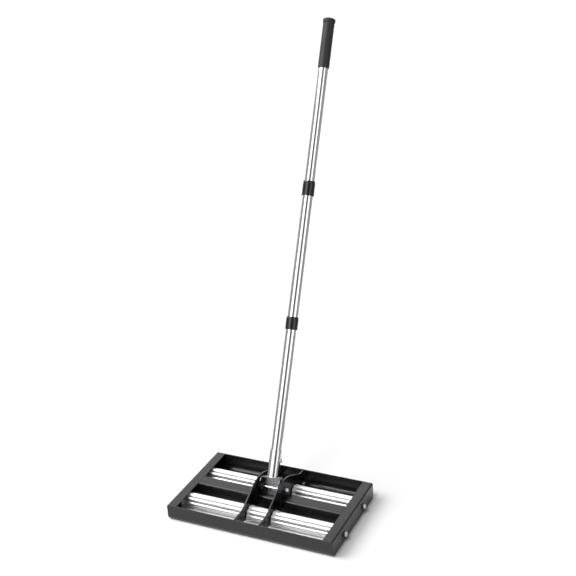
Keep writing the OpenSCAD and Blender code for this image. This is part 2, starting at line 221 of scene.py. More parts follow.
@dataclass
class Shape:
    """Points and faces of a piece, in millimetres.

    Attributes:
        points: The points.
        faces: The faces, as the numbers of their points.
    """

    points: list[Vector] = field(default_factory=list)
    faces: list[tuple[int, ...]] = field(default_factory=list)

    def moved(self, place: Matrix) -> "Shape":
        """Returns this shape put through a matrix."""
        return Shape([place @ p for p in self.points], list(self.faces))

    def plus(self, *others: "Shape") -> "Shape":
        """Joins other shapes to this one.

        Args:
            *others: The other shapes.

        Returns:
            All of them as one new shape.
        """
        points, faces = list(self.points), list(self.faces)
        for other in others:
            start = len(points)
            points += other.points
            faces += [tuple(start + i for i in corners) for corners in other.faces]
        return Shape(points, faces)

    def stitch(self, rings: Sequence[Sequence[int]], steps: int) -> None:
        """Joins rings of points by faces, where a ring of one point is a pole.

        Args:
            rings: The numbers of each ring's points, ring after ring.
            steps: How many faces go round.
        """
        for near, far in zip(rings, rings[1:]):
            for k in range(steps):
                n = (k + 1) % steps
                face = [near[k % len(near)], near[n % len(near)], far[n % len(far)], far[k % len(far)]]
                self.faces.append(tuple(dict.fromkeys(face)))

    def piece(self, name: str, finish: "Finish", round_mm: float = 0.0) -> Piece:
        """Makes the shape an object of the scene.

        Args:
            name: Name of the piece.
            finish: What its surface is.
            round_mm: Width of the rounding along its sharp edges, if any.

        Returns:
            The object, at the origin, with a plain mesh in metres.
        """
        made = bmesh.new()
        corners = [made.verts.new(p * MM) for p in self.points]
        for face in self.faces:
            made.faces.new([corners[i] for i in face])
        bmesh.ops.remove_doubles(made, verts=made.verts, dist=MERGE_MM * MM)
        bmesh.ops.recalc_face_normals(made, faces=made.faces)
        for face in made.faces:
            face.smooth = True
        for edge in made.edges:
            if len(edge.link_faces) == 2 and round_mm <= 0:
                edge.smooth = edge.calc_face_angle() < math.radians(SHARP_DEG)
        mesh = bpy.data.meshes.new(name)
        made.to_mesh(mesh)
        made.free()
        mesh.materials.append(finish.material())
        piece = add_object(name, mesh)
        if round_mm > 0:
            rounding = piece.modifiers.new("rounding", "BEVEL")
            rounding.limit_method = "ANGLE"
            rounding.angle_limit = math.radians(SHARP_DEG)
            rounding.width = round_mm * MM
            rounding.segments = ROUND_SEGMENTS
        shading = piece.modifiers.new("shading", "WEIGHTED_NORMAL")
        shading.keep_sharp = True
        return plain(piece)


def plain(piece: Piece) -> Piece:
    """Turns what a piece's modifiers make into its plain mesh.

    Args:
        piece: An object with modifiers.

    Returns:
        The same object, with no modifier left.
    """
    bpy.context.view_layer.update()
    graph = bpy.context.evaluated_depsgraph_get()
    made = bpy.data.meshes.new_from_object(
        piece.evaluated_get(graph), preserve_all_data_layers=True, depsgraph=graph
    )
    old = piece.data
    piece.modifiers.clear()
    piece.data = made
    bpy.data.meshes.remove(old)
    made.name = piece.name
    return piece


def slab(
    outline: Sequence[Point],
    low: Radius,
    high: Radius,
    rim: float,
    axis: Axis,
    holes: Sequence[Sequence[Point]] = (),
    rim_steps: int = 3,
) -> Shape:
    """Draws an outline out into a solid with rounded rims.

    Args:
        outline: The outline round the material.
        low: Where it starts along the axis, or a function of the outline's second coordinate.
        high: Where it ends, likewise.
        rim: Radius of the rounded rims.
        axis: The direction.
        holes: Outlines of through holes.
        rim_steps: Steps in the rounding.

    Returns:
        The solid.
    """
    shape = Shape()
    turns = [math.pi / 2 * k / rim_steps for k in range(rim_steps + 1)]
    levels = [(rim * (1 - math.sin(t)), rim * (1 - math.cos(t)), low, 1) for t in turns]
    levels += [(rim * (1 - math.sin(t)), rim * (1 - math.cos(t)), high, -1) for t in reversed(turns)]
    caps: tuple[list[list[Vector]], list[list[Vector]]] = ([], [])
    cap_numbers: tuple[list[int], list[int]] = ([], [])
    for number, contour in enumerate([outline, *holes]):
        path = wound(contour, hole=number > 0)
        count = len(path)
        rings: list[list[int]] = []
        for inward, depth, end, sign in levels:
            start = len(shape.points)
            for (u, v), (_, rest_v) in zip(inset(path, inward), path):
                along = (end(rest_v) if callable(end) else end) + sign * depth
                shape.points.append(axis.lay(u, v, along))
            rings.append(list(range(start, start + count)))
        shape.stitch(rings, count)
        for side, ends in enumerate((rings[0], rings[-1])):
            caps[side].append([Vector((u, v, 0)) for u, v in inset(path, rim)])
            cap_numbers[side].extend(ends)
    for side in range(2):
        for corners in tessellate_polygon(caps[side]):
            shape.faces.append(tuple(cap_numbers[side][i] for i in corners))
    return shape


def revolve(profile: Sequence[tuple[Radius, float]], steps: int = 64, closed: bool = False) -> Shape:
    """Turns a profile round Z.

    Args:
        profile: Radii, or functions that give the radius at an angle, with their heights.
        steps: Steps round the axis.
        closed: Whether the profile's end joins its start, as in a tube.

    Returns:
        The turned shape.
    """
    shape = Shape()
    rings: list[list[int]] = []
    for radius, height in profile:
        start = len(shape.points)
        if not callable(radius) and radius < TINY:
            shape.points.append(Vector((0, 0, height)))
            rings.append([start])
            continue
        for k in range(steps):
            angle = 2 * math.pi * k / steps
            reach = radius(angle) if callable(radius) else radius
            shape.points.append(Vector((reach * math.cos(angle), reach * math.sin(angle), height)))
        rings.append(list(range(start, start + steps)))
    shape.stitch([*rings, rings[0]] if closed else rings, steps)
    return shape


def ring(inner: float, outer: float, low: float, high: float, edge: float, steps: int = 64) -> Shape:
    """Returns a ring or tube round Z with rounded edges."""
    corners = [(inner, low, edge), (outer, low, edge), (outer, high, edge), (inner, high, edge)]
    return revolve(soften(corners, step_deg=EDGE_STEP_DEG), steps, closed=True)


def bar(radius: float, low: float, high: float, edge: float, steps: int = 32) -> Shape:
    """Returns a round bar along Z with rounded ends."""
    corners = [(0, low, 0), (radius, low, edge), (radius, high, edge), (0, high, 0)]
    return revolve(soften(corners, False, EDGE_STEP_DEG), steps)


def hexagon(across: float, limit: float) -> Callable[[float], float]:
    """Gives the radius of a hexagon whose corners are cut by a circle.

    Args:
        across: Width across the flats.
        limit: Radius of the circle.

    Returns:
        The radius as a function of the angle, with flats at 30 degrees and corners at 0.
    """

    def reach(angle: float) -> float:
        """Returns the radius at an angle."""
        off = (angle % (math.pi / 3)) - math.pi / 6
        return min(across / 2 / math.cos(off), limit)

    return reach


# Lays a shape that was made along Z along X.
TO_X = Matrix.Rotation(math.pi / 2, 4, "Y")


# Finishes


def linear(code: str) -> tuple[float, float, float, float]:
    """Turns an sRGB hex colour into linear red, green, blue and alpha.

    Args:
        code: The colour, written "#rrggbb".

    Returns:
        The linear colour.
    """
    shares = [int(code[i : i + 2], 16) / 255 for i in (1, 3, 5)]
    red, green, blue = (s / 12.92 if s <= 0.04045 else ((s + 0.055) / 1.055) ** 2.4 for s in shares)
    return red, green, blue, 1.0


def add_node(
    tree: Tree,
    kind: str,
    settings: Union[dict[str, object], None] = None,
    feeds: Union[dict[Union[str, int], Feed], None] = None,
) -> Node:
    """Adds a node to a tree.

    Args:
        tree: The tree.
        kind: Blender's name for the kind of node.
        settings: Properties of the node.
        feeds: What its inputs take, as values or as sockets to link.

    Returns:
        The node.
    """
    made = tree.nodes.new(kind)
    for key, value in (settings or {}).items():
        setattr(made, key, value)
    for key, value in (feeds or {}).items():
        if isinstance(value, Socket):
            tree.links.new(value, made.inputs[key])
        else:
            made.inputs[key].default_value = value
    return made


@dataclass(frozen=True)
class Finish:
    """What a surface is made of, and how it was made.

    Attributes:
        name: Name of the material, which differs from the slots' names that the frame brings along.
        colour: Its colour in sRGB hex.
        roughness: Its mean roughness.
    """

    name: str
    colour: str
    roughness: float

    def material(self) -> bpy.types.Material:
        """Gives the finish as a material, which is made once.

        Returns:
            The material.
        """
        known = bpy.data.materials.get(self.name)
        if known is not None:
            return known
        made = bpy.data.materials.new(self.name)
        made.use_nodes = True
        shader = made.node_tree.nodes["Principled BSDF"]
        place = add_node(made.node_tree, "ShaderNodeTexCoord").outputs["Object"]
        self.dress(made.node_tree, shader, place)
        return made

    def dress(self, tree: Tree, shader: Node, place: Socket) -> None:
        """Wires the finish's pattern into a shader.

        Args:
            tree: The material's tree.
            shader: Its shader.
            place: Object coordinates.
        """
        raise NotImplementedError

    def vary(self, tree: Tree, shader: Node, factor: Socket, spread: float, shade: float) -> None:
        """Lets a pattern vary the roughness and the colour.

        Args:
            tree: The material's tree.
            shader: Its shader.
            factor: The pattern, from 0 to 1.
            spread: How far the roughness goes to each side.
            shade: Brightness of the darkest place, as a share of the colour.
        """
        rough = add_node(
            tree,
            "ShaderNodeMapRange",
            feeds={
                "Value": factor,
                "From Min": NOISE_SPAN[0],
                "From Max": NOISE_SPAN[1],
                "To Min": max(LEAST_ROUGHNESS, self.roughness - spread),
                "To Max": self.roughness + spread,
            },
        )
        tree.links.new(rough.outputs["Result"], shader.inputs["Roughness"])
        full = linear(self.colour)
        dark = (*(c * shade for c in full[:3]), 1.0)
        mix = add_node(tree, "ShaderNodeMix", {"data_type": "RGBA"}, {0: factor, 6: dark, 7: full})
        tree.links.new(mix.outputs[2], shader.inputs["Base Color"])


@dataclass(frozen=True)
class Skin(Finish):
    """A surface with clouds in its gloss and a fine relief.

    Attributes:
        fine_mm: Size of the relief, drawn coarser than the real one so that it shows.
        fine_depth_mm: Depth of the relief.
        cloud_mm: Size of the clouds.
        spread: How far the clouds move the roughness.
        shade: Brightness of the darkest cloud, as a share of the colour.
        fine_detail: Octaves of the relief's noise.
        fine_strength: How much of the relief the light follows.
        cloud_detail: Octaves of the clouds' noise.
    """

    fine_mm: float
    fine_depth_mm: float
    cloud_mm: float
    spread: float
    shade: float
    fine_detail: float = 2.0
    fine_strength: float = 0.5
    cloud_detail: float = 4.0

    def dress(self, tree: Tree, shader: Node, place: Socket) -> None:
        """Wires the clouds into the gloss and the colour, and the relief into the normal.

        Args:
            tree: The material's tree.
            shader: Its shader.
            place: Object coordinates.
        """
        cloud = add_node(
            tree,
            "ShaderNodeTexNoise",
            feeds={"Vector": place, "Scale": 1 / (self.cloud_mm * MM), "Detail": self.cloud_detail},
        )
        self.vary(tree, shader, cloud.outputs["Fac"], self.spread, self.shade)
        along = self.grained(tree, place)
        fine = add_node(
            tree,
            "ShaderNodeTexNoise",
            feeds={"Vector": along, "Scale": 1 / (self.fine_mm * MM), "Detail": self.fine_detail},
        )
        depth = {"Distance": self.fine_depth_mm * MM, "Strength": self.fine_strength}
        bump = add_node(tree, "ShaderNodeBump", feeds={"Height": fine.outputs["Fac"], **depth})
        tree.links.new(bump.outputs["Normal"], shader.inputs["Normal"])
        self.settle(shader)

    def grained(self, tree: Tree, place: Socket) -> Socket:
        """Returns the coordinates of the relief, which here has no grain."""
        return place

    def settle(self, shader: Node) -> None:
        """Sets what is the same all over the surface.

        Args:
            shader: The material's shader.
        """
        raise NotImplementedError


@dataclass(frozen=True)
class PowderCoat(Skin):
    """Gloss powder coat on steel: a thick even skin with a faint orange peel that breaks up reflections.

    The real peel is about 0.5 mm in size, and is drawn coarser so that it shows. The clouds are handling marks.

    Attributes:
        ior: Refraction of the coat.
    """

    fine_mm: float = 1.6
    fine_depth_mm: float = 0.012
    fine_detail: float = 1.0
    fine_strength: float = 0.6
    cloud_mm: float = 35.0
    cloud_detail: float = 5.0
    spread: float = 0.07
    shade: float = 0.82
    ior: float = 1.52

    def settle(self, shader: Node) -> None:
        """Sets the coat's refraction."""
        shader.inputs["IOR"].default_value = self.ior


class Grain(Enum):
    """The way in which a metal's fine lines run: the turn about X, and the stretch of the pattern."""

    ALONG_X = (0.0, (0.004, 1.0, 1.0))
    ALONG_HANDLE = (25.0, (1.0, 1.0, 0.003))
    NONE = (0.0, (1.0, 1.0, 1.0))


@dataclass(frozen=True)
class BareMetal(Skin):
    """Drawn, polished or plated metal: a mirror that its fine lines and faint clouds soften.

    Attributes:
        grain: The way that the lines run.
    """

    fine_mm: float = 0.6
    fine_depth_mm: float = 0.002
    cloud_mm: float = 22.0
    spread: float = 0.04
    shade: float = 0.93
    grain: Grain = Grain.NONE

    def grained(self, tree: Tree, place: Socket) -> Socket:
        """Turns and stretches the coordinates along the grain.

        Args:
            tree: The material's tree.
            place: Object coordinates.

        Returns:
            The coordinates of the lines.
        """
        lean, stretch = self.grain.value
        turned = add_node(
            tree,
            "ShaderNodeMapping",
            {"vector_type": "POINT"},
            {"Vector": place, "Rotation": (math.radians(lean), 0.0, 0.0), "Scale": stretch},
        )
        return turned.outputs["Vector"]

    def settle(self, shader: Node) -> None:
        """Makes the surface a metal."""
        shader.inputs["Metallic"].default_value = 1.0


@dataclass(frozen=True)
class Moulded(Skin):
    """Moulded plastic or rubber: the mould's texture as a fine grit, and a skin that varies in sheen.

    Attributes:
        ior: Refraction of the skin.
    """

    fine_mm: float = 0.8
    fine_depth_mm: float = 0.02
    fine_strength: float = 0.7
    cloud_mm: float = 18.0
    spread: float = 0.06
    shade: float = 0.75
    ior: float = 1.5

    def settle(self, shader: Node) -> None:
        """Sets the skin's refraction."""
        shader.inputs["IOR"].default_value = self.ior


@dataclass(frozen=True)
class Paper(Finish):
    """Matt studio paper: a plain pale surface with a barely uneven tone.

    Attributes:
        tone_m: Size of the uneven patches in metres.
        spread: How far they move the roughness.
        shade: Brightness of the darkest patch, as a share of the colour.
        sheen: Level of the paper's mirror reflection.
    """

    tone_m: float = 1.25
    spread: float = 0.02
    shade: float = 0.99
    sheen: float = 0.1

    def dress(self, tree: Tree, shader: Node, place: Socket) -> None:
        """Wires the uneven tone into the colour.

        Args:
            tree: The material's tree.
            shader: Its shader.
            place: Object coordinates.
        """
        feeds = {"Vector": place, "Scale": 1 / self.tone_m, "Detail": 2.0}
        cloud = add_node(tree, "ShaderNodeTexNoise", feeds=feeds)
        self.vary(tree, shader, cloud.outputs["Fac"], self.spread, self.shade)
        shader.inputs["Specular IOR Level"].default_value = self.sheen


@dataclass(frozen=True)
class LitCard(Finish):
    """A card with an even light of its own, so that its reflections stay smooth."""

    def dress(self, tree: Tree, shader: Node, place: Socket) -> None:
        """Lights the card, and takes away its own colour and gloss.

        Args:
            tree: The material's tree.
            shader: Its shader.
            place: Object coordinates, not used.
        """
        shader.inputs["Base Color"].default_value = (0.0, 0.0, 0.0, 1.0)
        shader.inputs["Roughness"].default_value = self.roughness
        shader.inputs["Specular IOR Level"].default_value = 0.0
        shader.inputs["Emission Color"].default_value = linear(self.colour)
        shader.inputs["Emission Strength"].default_value = 1.0


# Powder coat, sprayed and baked: near black, with soft reflections that the orange peel breaks up.
COAT = PowderCoat("gloss_black_powder_coat_on_steel", "#121213", 0.24)
# Mild steel bar, cold drawn: bright, with lights smeared into soft bands along the bar.
ROD = BareMetal(
    "bright_drawn_steel_rod", "#eeeeef", 0.45, fine_mm=0.5, fine_depth_mm=0.0008, grain=Grain.ALONG_X
)
# Nylon, moulded in its natural white: matt beside the bars, with a faint sheen.
DISC = Moulded("natural_nylon_end_disc", "#f6f6f6", 0.3, fine_depth_mm=0.01)
# Stainless steel tube, mirror polished along its length: sharp stripes of light and dark.
TUBE = BareMetal(
    "mirror_polished_stainless", "#dfdfe1", 0.1, fine_mm=0.5, spread=0.03, grain=Grain.ALONG_HANDLE
)
# Rolled sheet steel, bent: a satin grey with barely seen lines, its colour darkened further as painted shade that
# stands in for the dark surroundings the bracket's panel reflects.
SHEET = BareMetal(
    "satin_sheet_steel_with_painted_shade", "#5c5c60", 0.3, fine_mm=0.7, fine_depth_mm=0.001, grain=Grain.ALONG_X
)
# Steel, zinc plated in a barrel: bright and a little cloudy, with a blue cast.
ZINC = BareMetal("bright_zinc_plated_steel", "#cfd2d6", 0.15, cloud_mm=6.0, spread=0.05, shade=0.8)
# Bronze powder, pressed and sintered: a dull brown metal with open pores.
BRONZE = BareMetal("sintered_bronze_bearing", "#a98350", 0.42, fine_mm=0.7, fine_depth_mm=0.01)
# ABS, moulded in a polished mould: deep black with clear highlights.
PLASTIC = Moulded("gloss_moulded_black_abs", "#0b0b0c", 0.24, fine_mm=1.2, fine_depth_mm=0.006)
# Rubber, moulded with a grained surface: soft grey light with no clear highlight.
RUBBER = Moulded("moulded_black_rubber", "#161617", 0.55, fine_mm=0.9, fine_depth_mm=0.05, ior=1.52)
# Studio paper, uncoated: matt and white.
PAPER = Paper("matt_white_studio_paper", "#f1f1f1", 0.9)
# Card, evenly lit: only its grey shows, in reflections.
FELT = LitCard("grey_card", "#a8a8a8", 0.95)


# Geometry Nodes that repeat a shape


@dataclass(frozen=True)
class Recipe:
    """A Geometry Nodes tree with named inputs, run on a piece whose own mesh is its source.

    Attributes:
        name: Name of the tree.
        sockets: Names of its inputs, with their kinds of socket.
    """

    name: str
    sockets: tuple[tuple[str, str], ...]

    def tree(self) -> Tree:
        """Gives the tree, which is built once.

        Returns:
            The tree.
        """
        known = bpy.data.node_groups.get(self.name)
        if known is not None:
            return known
        made = bpy.data.node_groups.new(self.name, "GeometryNodeTree")
        made.interface.new_socket("Geometry", in_out="INPUT", socket_type="NodeSocketGeometry")
        for name, kind in (*self.sockets, ("Material", "NodeSocketMaterial")):
            made.interface.new_socket(name, in_out="INPUT", socket_type=kind)
        made.interface.new_socket("Geometry", in_out="OUTPUT", socket_type="NodeSocketGeometry")
        given = add_node(made, "NodeGroupInput").outputs
        solid = add_node(made, "GeometryNodeRealizeInstances", feeds={"Geometry": self.wire(made, given)})
        feeds = {"Geometry": solid.outputs["Geometry"], "Material": given["Material"]}
        dressed = add_node(made, "GeometryNodeSetMaterial", feeds=feeds)
        add_node(made, "NodeGroupOutput", feeds={"Geometry": dressed.outputs["Geometry"]})
        return made

    def wire(self, tree: Tree, given: Sockets) -> Socket:
        """Wires the tree's own nodes.

        Args:
            tree: The tree.
            given: Sockets of the tree's inputs.

        Returns:
            The socket that gives the copies.
        """
        raise NotImplementedError

    def run(self, piece: Piece, finish: Finish, **values: Feed) -> Piece:
        """Runs the tree on a piece and keeps the result as its plain mesh.

        Args:
            piece: The piece, whose mesh is the source.
            finish: What the result's surface is.
            **values: The tree's inputs by name, with underscores for spaces.

        Returns:
            The piece.
        """
        tree = self.tree()
        made = piece.modifiers.new(self.name, "NODES")
        made.node_group = tree
        sizes = {key.replace("_", " "): value for key, value in values.items()}
        sizes["Material"] = finish.material()
        for item in tree.interface.items_tree:
            if item.in_out == "INPUT" and item.name in sizes:
                made[item.identifier] = sizes[item.name]
        return plain(piece)


class RingOfCopies(Recipe):
    """Sets copies of the source round an axis along X, as the rods of a roller."""

    def wire(self, tree: Tree, given: Sockets) -> Socket:
        """Wires a circle of points and an instance of the source on each.

        Args:
            tree: The tree.
            given: Sockets of the tree's inputs.

        Returns:
            The socket that gives the copies.
        """
        feeds = {"Vertices": given["Count"], "Radius": given["Ring Radius"]}
        level = add_node(tree, "GeometryNodeMeshCircle", feeds=feeds)
        place = {"Translation": given["Centre"], "Rotation": (0.0, math.pi / 2, 0.0)}
        upright = add_node(tree, "GeometryNodeTransform", feeds={"Geometry": level.outputs["Mesh"], **place})
        feeds = {"Points": upright.outputs["Geometry"], "Instance": given["Geometry"]}
        return add_node(tree, "GeometryNodeInstanceOnPoints", feeds=feeds).outputs["Instances"]


class FourCorners(Recipe):
    """Sets copies of the source on the corners of a level rectangle, turned to face outwards along X."""

    def wire(self, tree: Tree, given: Sockets) -> Socket:
        """Wires a grid of four points and an instance on each, half a turn round on the left.

        Args:
            tree: The tree.
            given: Sockets of the tree's inputs.

        Returns:
            The socket that gives the copies.
        """
        feeds = {"Size X": given["Span X"], "Size Y": given["Span Y"], "Vertices X": 2, "Vertices Y": 2}
        grid = add_node(tree, "GeometryNodeMeshGrid", feeds=feeds)
        feeds = {"Geometry": grid.outputs["Mesh"], "Translation": given["Centre"]}
        lifted = add_node(tree, "GeometryNodeTransform", feeds=feeds)
        place = add_node(tree, "GeometryNodeInputPosition")
        parts = add_node(tree, "ShaderNodeSeparateXYZ", feeds={0: place.outputs["Position"]})
        left = add_node(tree, "ShaderNodeMath", {"operation": "LESS_THAN"}, {0: parts.outputs["X"], 1: 0.0})
        turn = add_node(tree, "ShaderNodeMath", {"operation": "MULTIPLY"}, {0: left.outputs[0], 1: math.pi})
        euler = add_node(tree, "ShaderNodeCombineXYZ", feeds={"Z": turn.outputs[0]})
        feeds = {
            "Points": lifted.outputs["Geometry"],
            "Instance": given["Geometry"],
            "Rotation": euler.outputs["Vector"],
        }
        return add_node(tree, "GeometryNodeInstanceOnPoints", feeds=feeds).outputs["Instances"]


class SeamBead(Recipe):
    """Lays overlapping drops along the source's edges, as the ripples of a weld."""

    def wire(self, tree: Tree, given: Sockets) -> Socket:
        """Wires the edges to evenly spaced points, and a drop of random size on each.

        Args:
            tree: The tree.
            given: Sockets of the tree's inputs.

        Returns:
            The socket that gives the copies.
        """
        curve = add_node(tree, "GeometryNodeMeshToCurve", feeds={"Mesh": given["Geometry"]})
        feeds = {"Curve": curve.outputs["Curve"], "Length": given["Pitch"]}
        spaced = add_node(tree, "GeometryNodeResampleCurve", {"mode": "LENGTH"}, feeds)
        feeds = {"Radius": given["Bead Radius"], "Subdivisions": 2}
        drop = add_node(tree, "GeometryNodeMeshIcoSphere", feeds=feeds)
        feeds = {2: given["Least"], 3: given["Most"], "Seed": given["Seed"]}
        size = add_node(tree, "FunctionNodeRandomValue", {"data_type": "FLOAT"}, feeds)
        feeds = {
            "Points": spaced.outputs["Curve"],
            "Instance": drop.outputs["Mesh"],
            "Scale": size.outputs[1],
        }
        return add_node(tree, "GeometryNodeInstanceOnPoints", feeds=feeds).outputs["Instances"]


RODS_ROUND = RingOfCopies(
    "rods_round_a_roller",
    (("Count", "NodeSocketInt"), ("Ring Radius", "NodeSocketFloat"), ("Centre", "NodeSocketVector")),
)
AT_CORNERS = FourCorners(
    "fasteners_at_corners",
    (("Span X", "NodeSocketFloat"), ("Span Y", "NodeSocketFloat"), ("Centre", "NodeSocketVector")),
)
WELD = SeamBead(
    "weld_bead_along_seams",
    (
        ("Pitch", "NodeSocketFloat"),
        ("Bead Radius", "NodeSocketFloat"),
        ("Least", "NodeSocketFloat"),
        ("Most", "NodeSocketFloat"),
        ("Seed", "NodeSocketInt"),
    ),
)


def install(piece: Piece, body: str, nodes: Iterable[str] = ()) -> None:
    """Makes a piece ride on a body, and stand for the solids that it shows.

    Args:
        piece: The piece.
        body: Name of the body.
        nodes: Names of the solids it stands for.
    """
    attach(piece, body)
    hidden = list(nodes)
    if hidden:
        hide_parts(*hidden)
    LOG.info("%s rides on %s with %d faces", piece.name, body, len(piece.data.polygons))


# The head


@dataclass
class HeadFrame:
    """The black frame: end bars, front and rear bars, middle bar, pivot plates and welds.

    Attributes:
        length: Length of the head along X.
        width: Width of the head along Y.
        height: Height of the bars.
        sheet: Thickness of the bent bars.
        flange: Width of the end bars' flanges.
        blade: Width of the blades.
        blade_bend: Inner bend radius of the blades.
        edge_bend: Inner bend radius of the top edges.
        mid_width: Width of the middle bar.
        plate: Thickness of the pivot plates.
        plate_gap: Space between the pivot plates.
        pivot_y: Place of the pivot behind the middle.
        pivot_z: Height of the pivot.
        lug: Height of the plates' crest above the pivot.
        crest: Radius of the crest.
        flank_deg: Slope of the flanks.
        foot: Radius at the flanks' feet.
        foot_rise: Height of the feet above the bars.
        arc_step_deg: Largest turn between two points of a plate's arcs.
        edge: Radius of the sheared edges under the coat.
        end_step: Longest edge of the end bars' outline, which follows the long bars' bends.
        bead: Radius of the welds.
        bead_pitch: Spacing of the welds' ripples.
        bead_sizes: Least and most size of a ripple.
        bead_seed: Seed of the ripples' sizes.
        plate_seam: Gaps below and above the welds between plates and long bars, and above those at the middle bar.
        leg_seam: Gaps below and above the welds on the end bars' legs.
    """

    length: float = 432.0
    width: float = 254.0
    height: float = 42.0
    sheet: float = 2.5
    flange: float = 25.0
    blade: float = 28.0
    blade_bend: float = 9.5
    edge_bend: float = 1.5
    mid_width: float = 33.0
    plate: float = 4.0
    plate_gap: float = 60.0
    pivot_y: float = 9.0
    pivot_z: float = 55.0
    lug: float = 26.0
    crest: float = 90.0
    flank_deg: float = 27.0
    foot: float = 40.0
    foot_rise: float = 2.0
    arc_step_deg: float = 4.0
    edge: float = 0.5
    end_step: float = 1.0
    bead: float = 0.9
    bead_pitch: float = 1.1
    bead_sizes: tuple[float, float] = (0.82, 1.1)
    bead_seed: int = 7
    plate_seam: tuple[float, float, float] = (1.0, 0.0, 4.0)
    leg_seam: tuple[float, float] = (3.0, 2.0)

    @property
    def face_y(self) -> float:
        """Returns the place of the front and rear bars' inner faces."""
        return self.width / 2 - self.sheet

    @property
    def leg_x(self) -> float:
        """Returns the place of the end bars' inner faces."""
        return self.length / 2 - self.sheet

    @property
    def blade_heel(self) -> float:
        """Returns the outer bend radius of the blades."""
        return self.blade_bend + self.sheet

    @property
    def plate_span(self) -> Point:
        """Returns the places of a plate's inner and outer faces."""
        return self.plate_gap / 2, self.plate_gap / 2 + self.plate

    def long_bar(self) -> Shape:
        """Makes the front bar: a face, a bend and a blade along the ground, lower under the flanges.

        Returns:
            The bar.
        """
        start, inner = -self.width / 2, self.length / 2 - self.flange
        shape = Shape()
        for top, spans in (
            (self.height, [(-inner, inner)]),
            (self.height - self.sheet, [(inner - self.edge, self.leg_x), (-self.leg_x, self.edge - inner)]),
        ):
            profile = soften(
                [
                    (start, top, self.edge),
                    (start, 0, self.blade_heel),
                    (start + self.blade, 0, self.edge),
                    (start + self.blade, self.sheet, self.edge),
                    (start + self.sheet, self.sheet, self.blade_bend),
                    (start + self.sheet, top, self.edge),
                ]
            )
            for low, high in spans:
                shape = shape.plus(slab(profile, low, high, self.edge, Axis.X))
        return shape

    def bar_end(self, z: float) -> float:
        """Returns how far an end bar reaches along Y at a height, rounded as the long bars' bends."""
        low = max(0.0, self.blade_heel - z)
        return self.width / 2 - self.blade_heel + math.sqrt(max(0.0, self.blade_heel**2 - low**2))

    def end_bar(self) -> Shape:
        """Makes the right end bar: a leg outside and a flange on top.

        Returns:
            The bar.
        """
        out, top = self.length / 2, self.height
        profile = soften(
            [
                (out, 0, self.edge),
                (out, top, self.edge_bend + self.sheet),
                (out - self.flange, top, self.edge),
                (out - self.flange, top - self.sheet, self.edge),
                (out - self.sheet, top - self.sheet, self.edge_bend),
                (out - self.sheet, 0, self.edge),
            ]
        )
        fine = refine(profile, self.end_step)
        return slab(fine, lambda z: -self.bar_end(z), self.bar_end, self.edge, Axis.Y)

    def mid_bar(self) -> Shape:
        """Makes the middle bar, lower where it passes under the flanges.

        Returns:
            The bar.
        """
        half, heel = self.mid_width / 2, self.edge_bend + self.sheet
        inner, top, under = self.length / 2 - self.flange, self.height, self.height - self.sheet
        full = soften([(-half, 0, heel), (half, 0, heel), (half, top, heel), (-half, top, heel)])
        low = soften([(-half, 0, heel), (half, 0, heel), (half, under, self.edge), (-half, under, self.edge)])
        return slab(full, -inner, inner, self.edge, Axis.X).plus(
            slab(low, inner - self.edge, self.leg_x, self.edge, Axis.X),
            slab(low, -self.leg_x, self.edge - inner, self.edge, Axis.X),
        )

    def plate_outline(self) -> list[Point]:
        """Gives the outline of a pivot plate in y and z.

        Returns:
            The outline's points.
        """
        slope = math.radians(self.flank_deg)
        crest_z = self.pivot_z + self.lug
        apex = crest_z - self.crest + self.crest / math.cos(slope)
        foot_z = self.height + self.foot_rise
        reach = (apex - foot_z) / math.tan(slope)
        half, heel = self.mid_width / 2, self.edge_bend + self.sheet
        low = self.blade_heel
        corners = [
            (-self.face_y, low, 0),
            (-half, low, 0),
            (-half, self.height, heel),
            (half, self.height, heel),
            (half, low, 0),
            (self.face_y, low, 0),
            (self.face_y, foot_z, 0),
            (self.pivot_y + reach, foot_z, self.foot),
            (self.pivot_y, apex, self.crest),
            (self.pivot_y - reach, foot_z, self.foot),
            (-self.face_y, foot_z, 0),
        ]
        return soften(corners, step_deg=self.arc_step_deg)

    def seams(self) -> Piece:
        """Makes an object whose edges are the weld seams.

        Returns:
            The object, which has no faces yet.
        """
        half, low = self.mid_width / 2, self.blade_heel
        lift, drop, mid_drop = self.plate_seam
        leg_lift, leg_drop = self.leg_seam
        under = self.height - self.sheet - leg_drop
        posts: list[tuple[float, float, float, float]] = []
        for side in (-1, 1):
            for x in self.plate_span:
                posts += [(x * side, y, low + lift, self.height - drop) for y in (-self.face_y, self.face_y)]
                posts += [(x * side, y, low, self.height - mid_drop) for y in (-half, half)]
            posts += [(side * self.leg_x, y, leg_lift, under) for y in (-half, half)]
            posts += [(side * self.leg_x, y, low, under) for y in (-self.face_y, self.face_y)]
        places = [Vector((x, y, z)) * MM for x, y, foot, top in posts for z in (foot, top)]
        mesh = bpy.data.meshes.new("seams")
        mesh.from_pydata(places, [(2 * i, 2 * i + 1) for i in range(len(posts))], [])
        return add_object("frame_welds", mesh)

    def build(self) -> None:
        """Makes every piece of the frame."""
        swap_x, swap_y = Matrix.Diagonal((-1, 1, 1, 1)), Matrix.Diagonal((1, -1, 1, 1))
        front, end = self.long_bar(), self.end_bar()
        plate = slab(self.plate_outline(), *self.plate_span, self.edge, Axis.X)
        made = {
            "front_bar": front,
            "rear_bar": front.moved(swap_y),
            "right_end_bar": end,
            "left_end_bar": end.moved(swap_x),
            "mid_bar": self.mid_bar(),
            "right_pivot_plate": plate,
            "left_pivot_plate": plate.moved(swap_x),
        }
        for node, shape in made.items():
            install(shape.piece(f"{node}_coated", COAT), Body.FRAME.value, [node])
        beads = WELD.run(
            self.seams(),
            COAT,
            Pitch=self.bead_pitch * MM,
            Bead_Radius=self.bead * MM,
            Least=self.bead_sizes[0],
            Most=self.bead_sizes[1],
            Seed=self.bead_seed,
        )
        for face in beads.data.polygons:
            face.use_smooth = True
        install(beads, Body.FRAME.value)


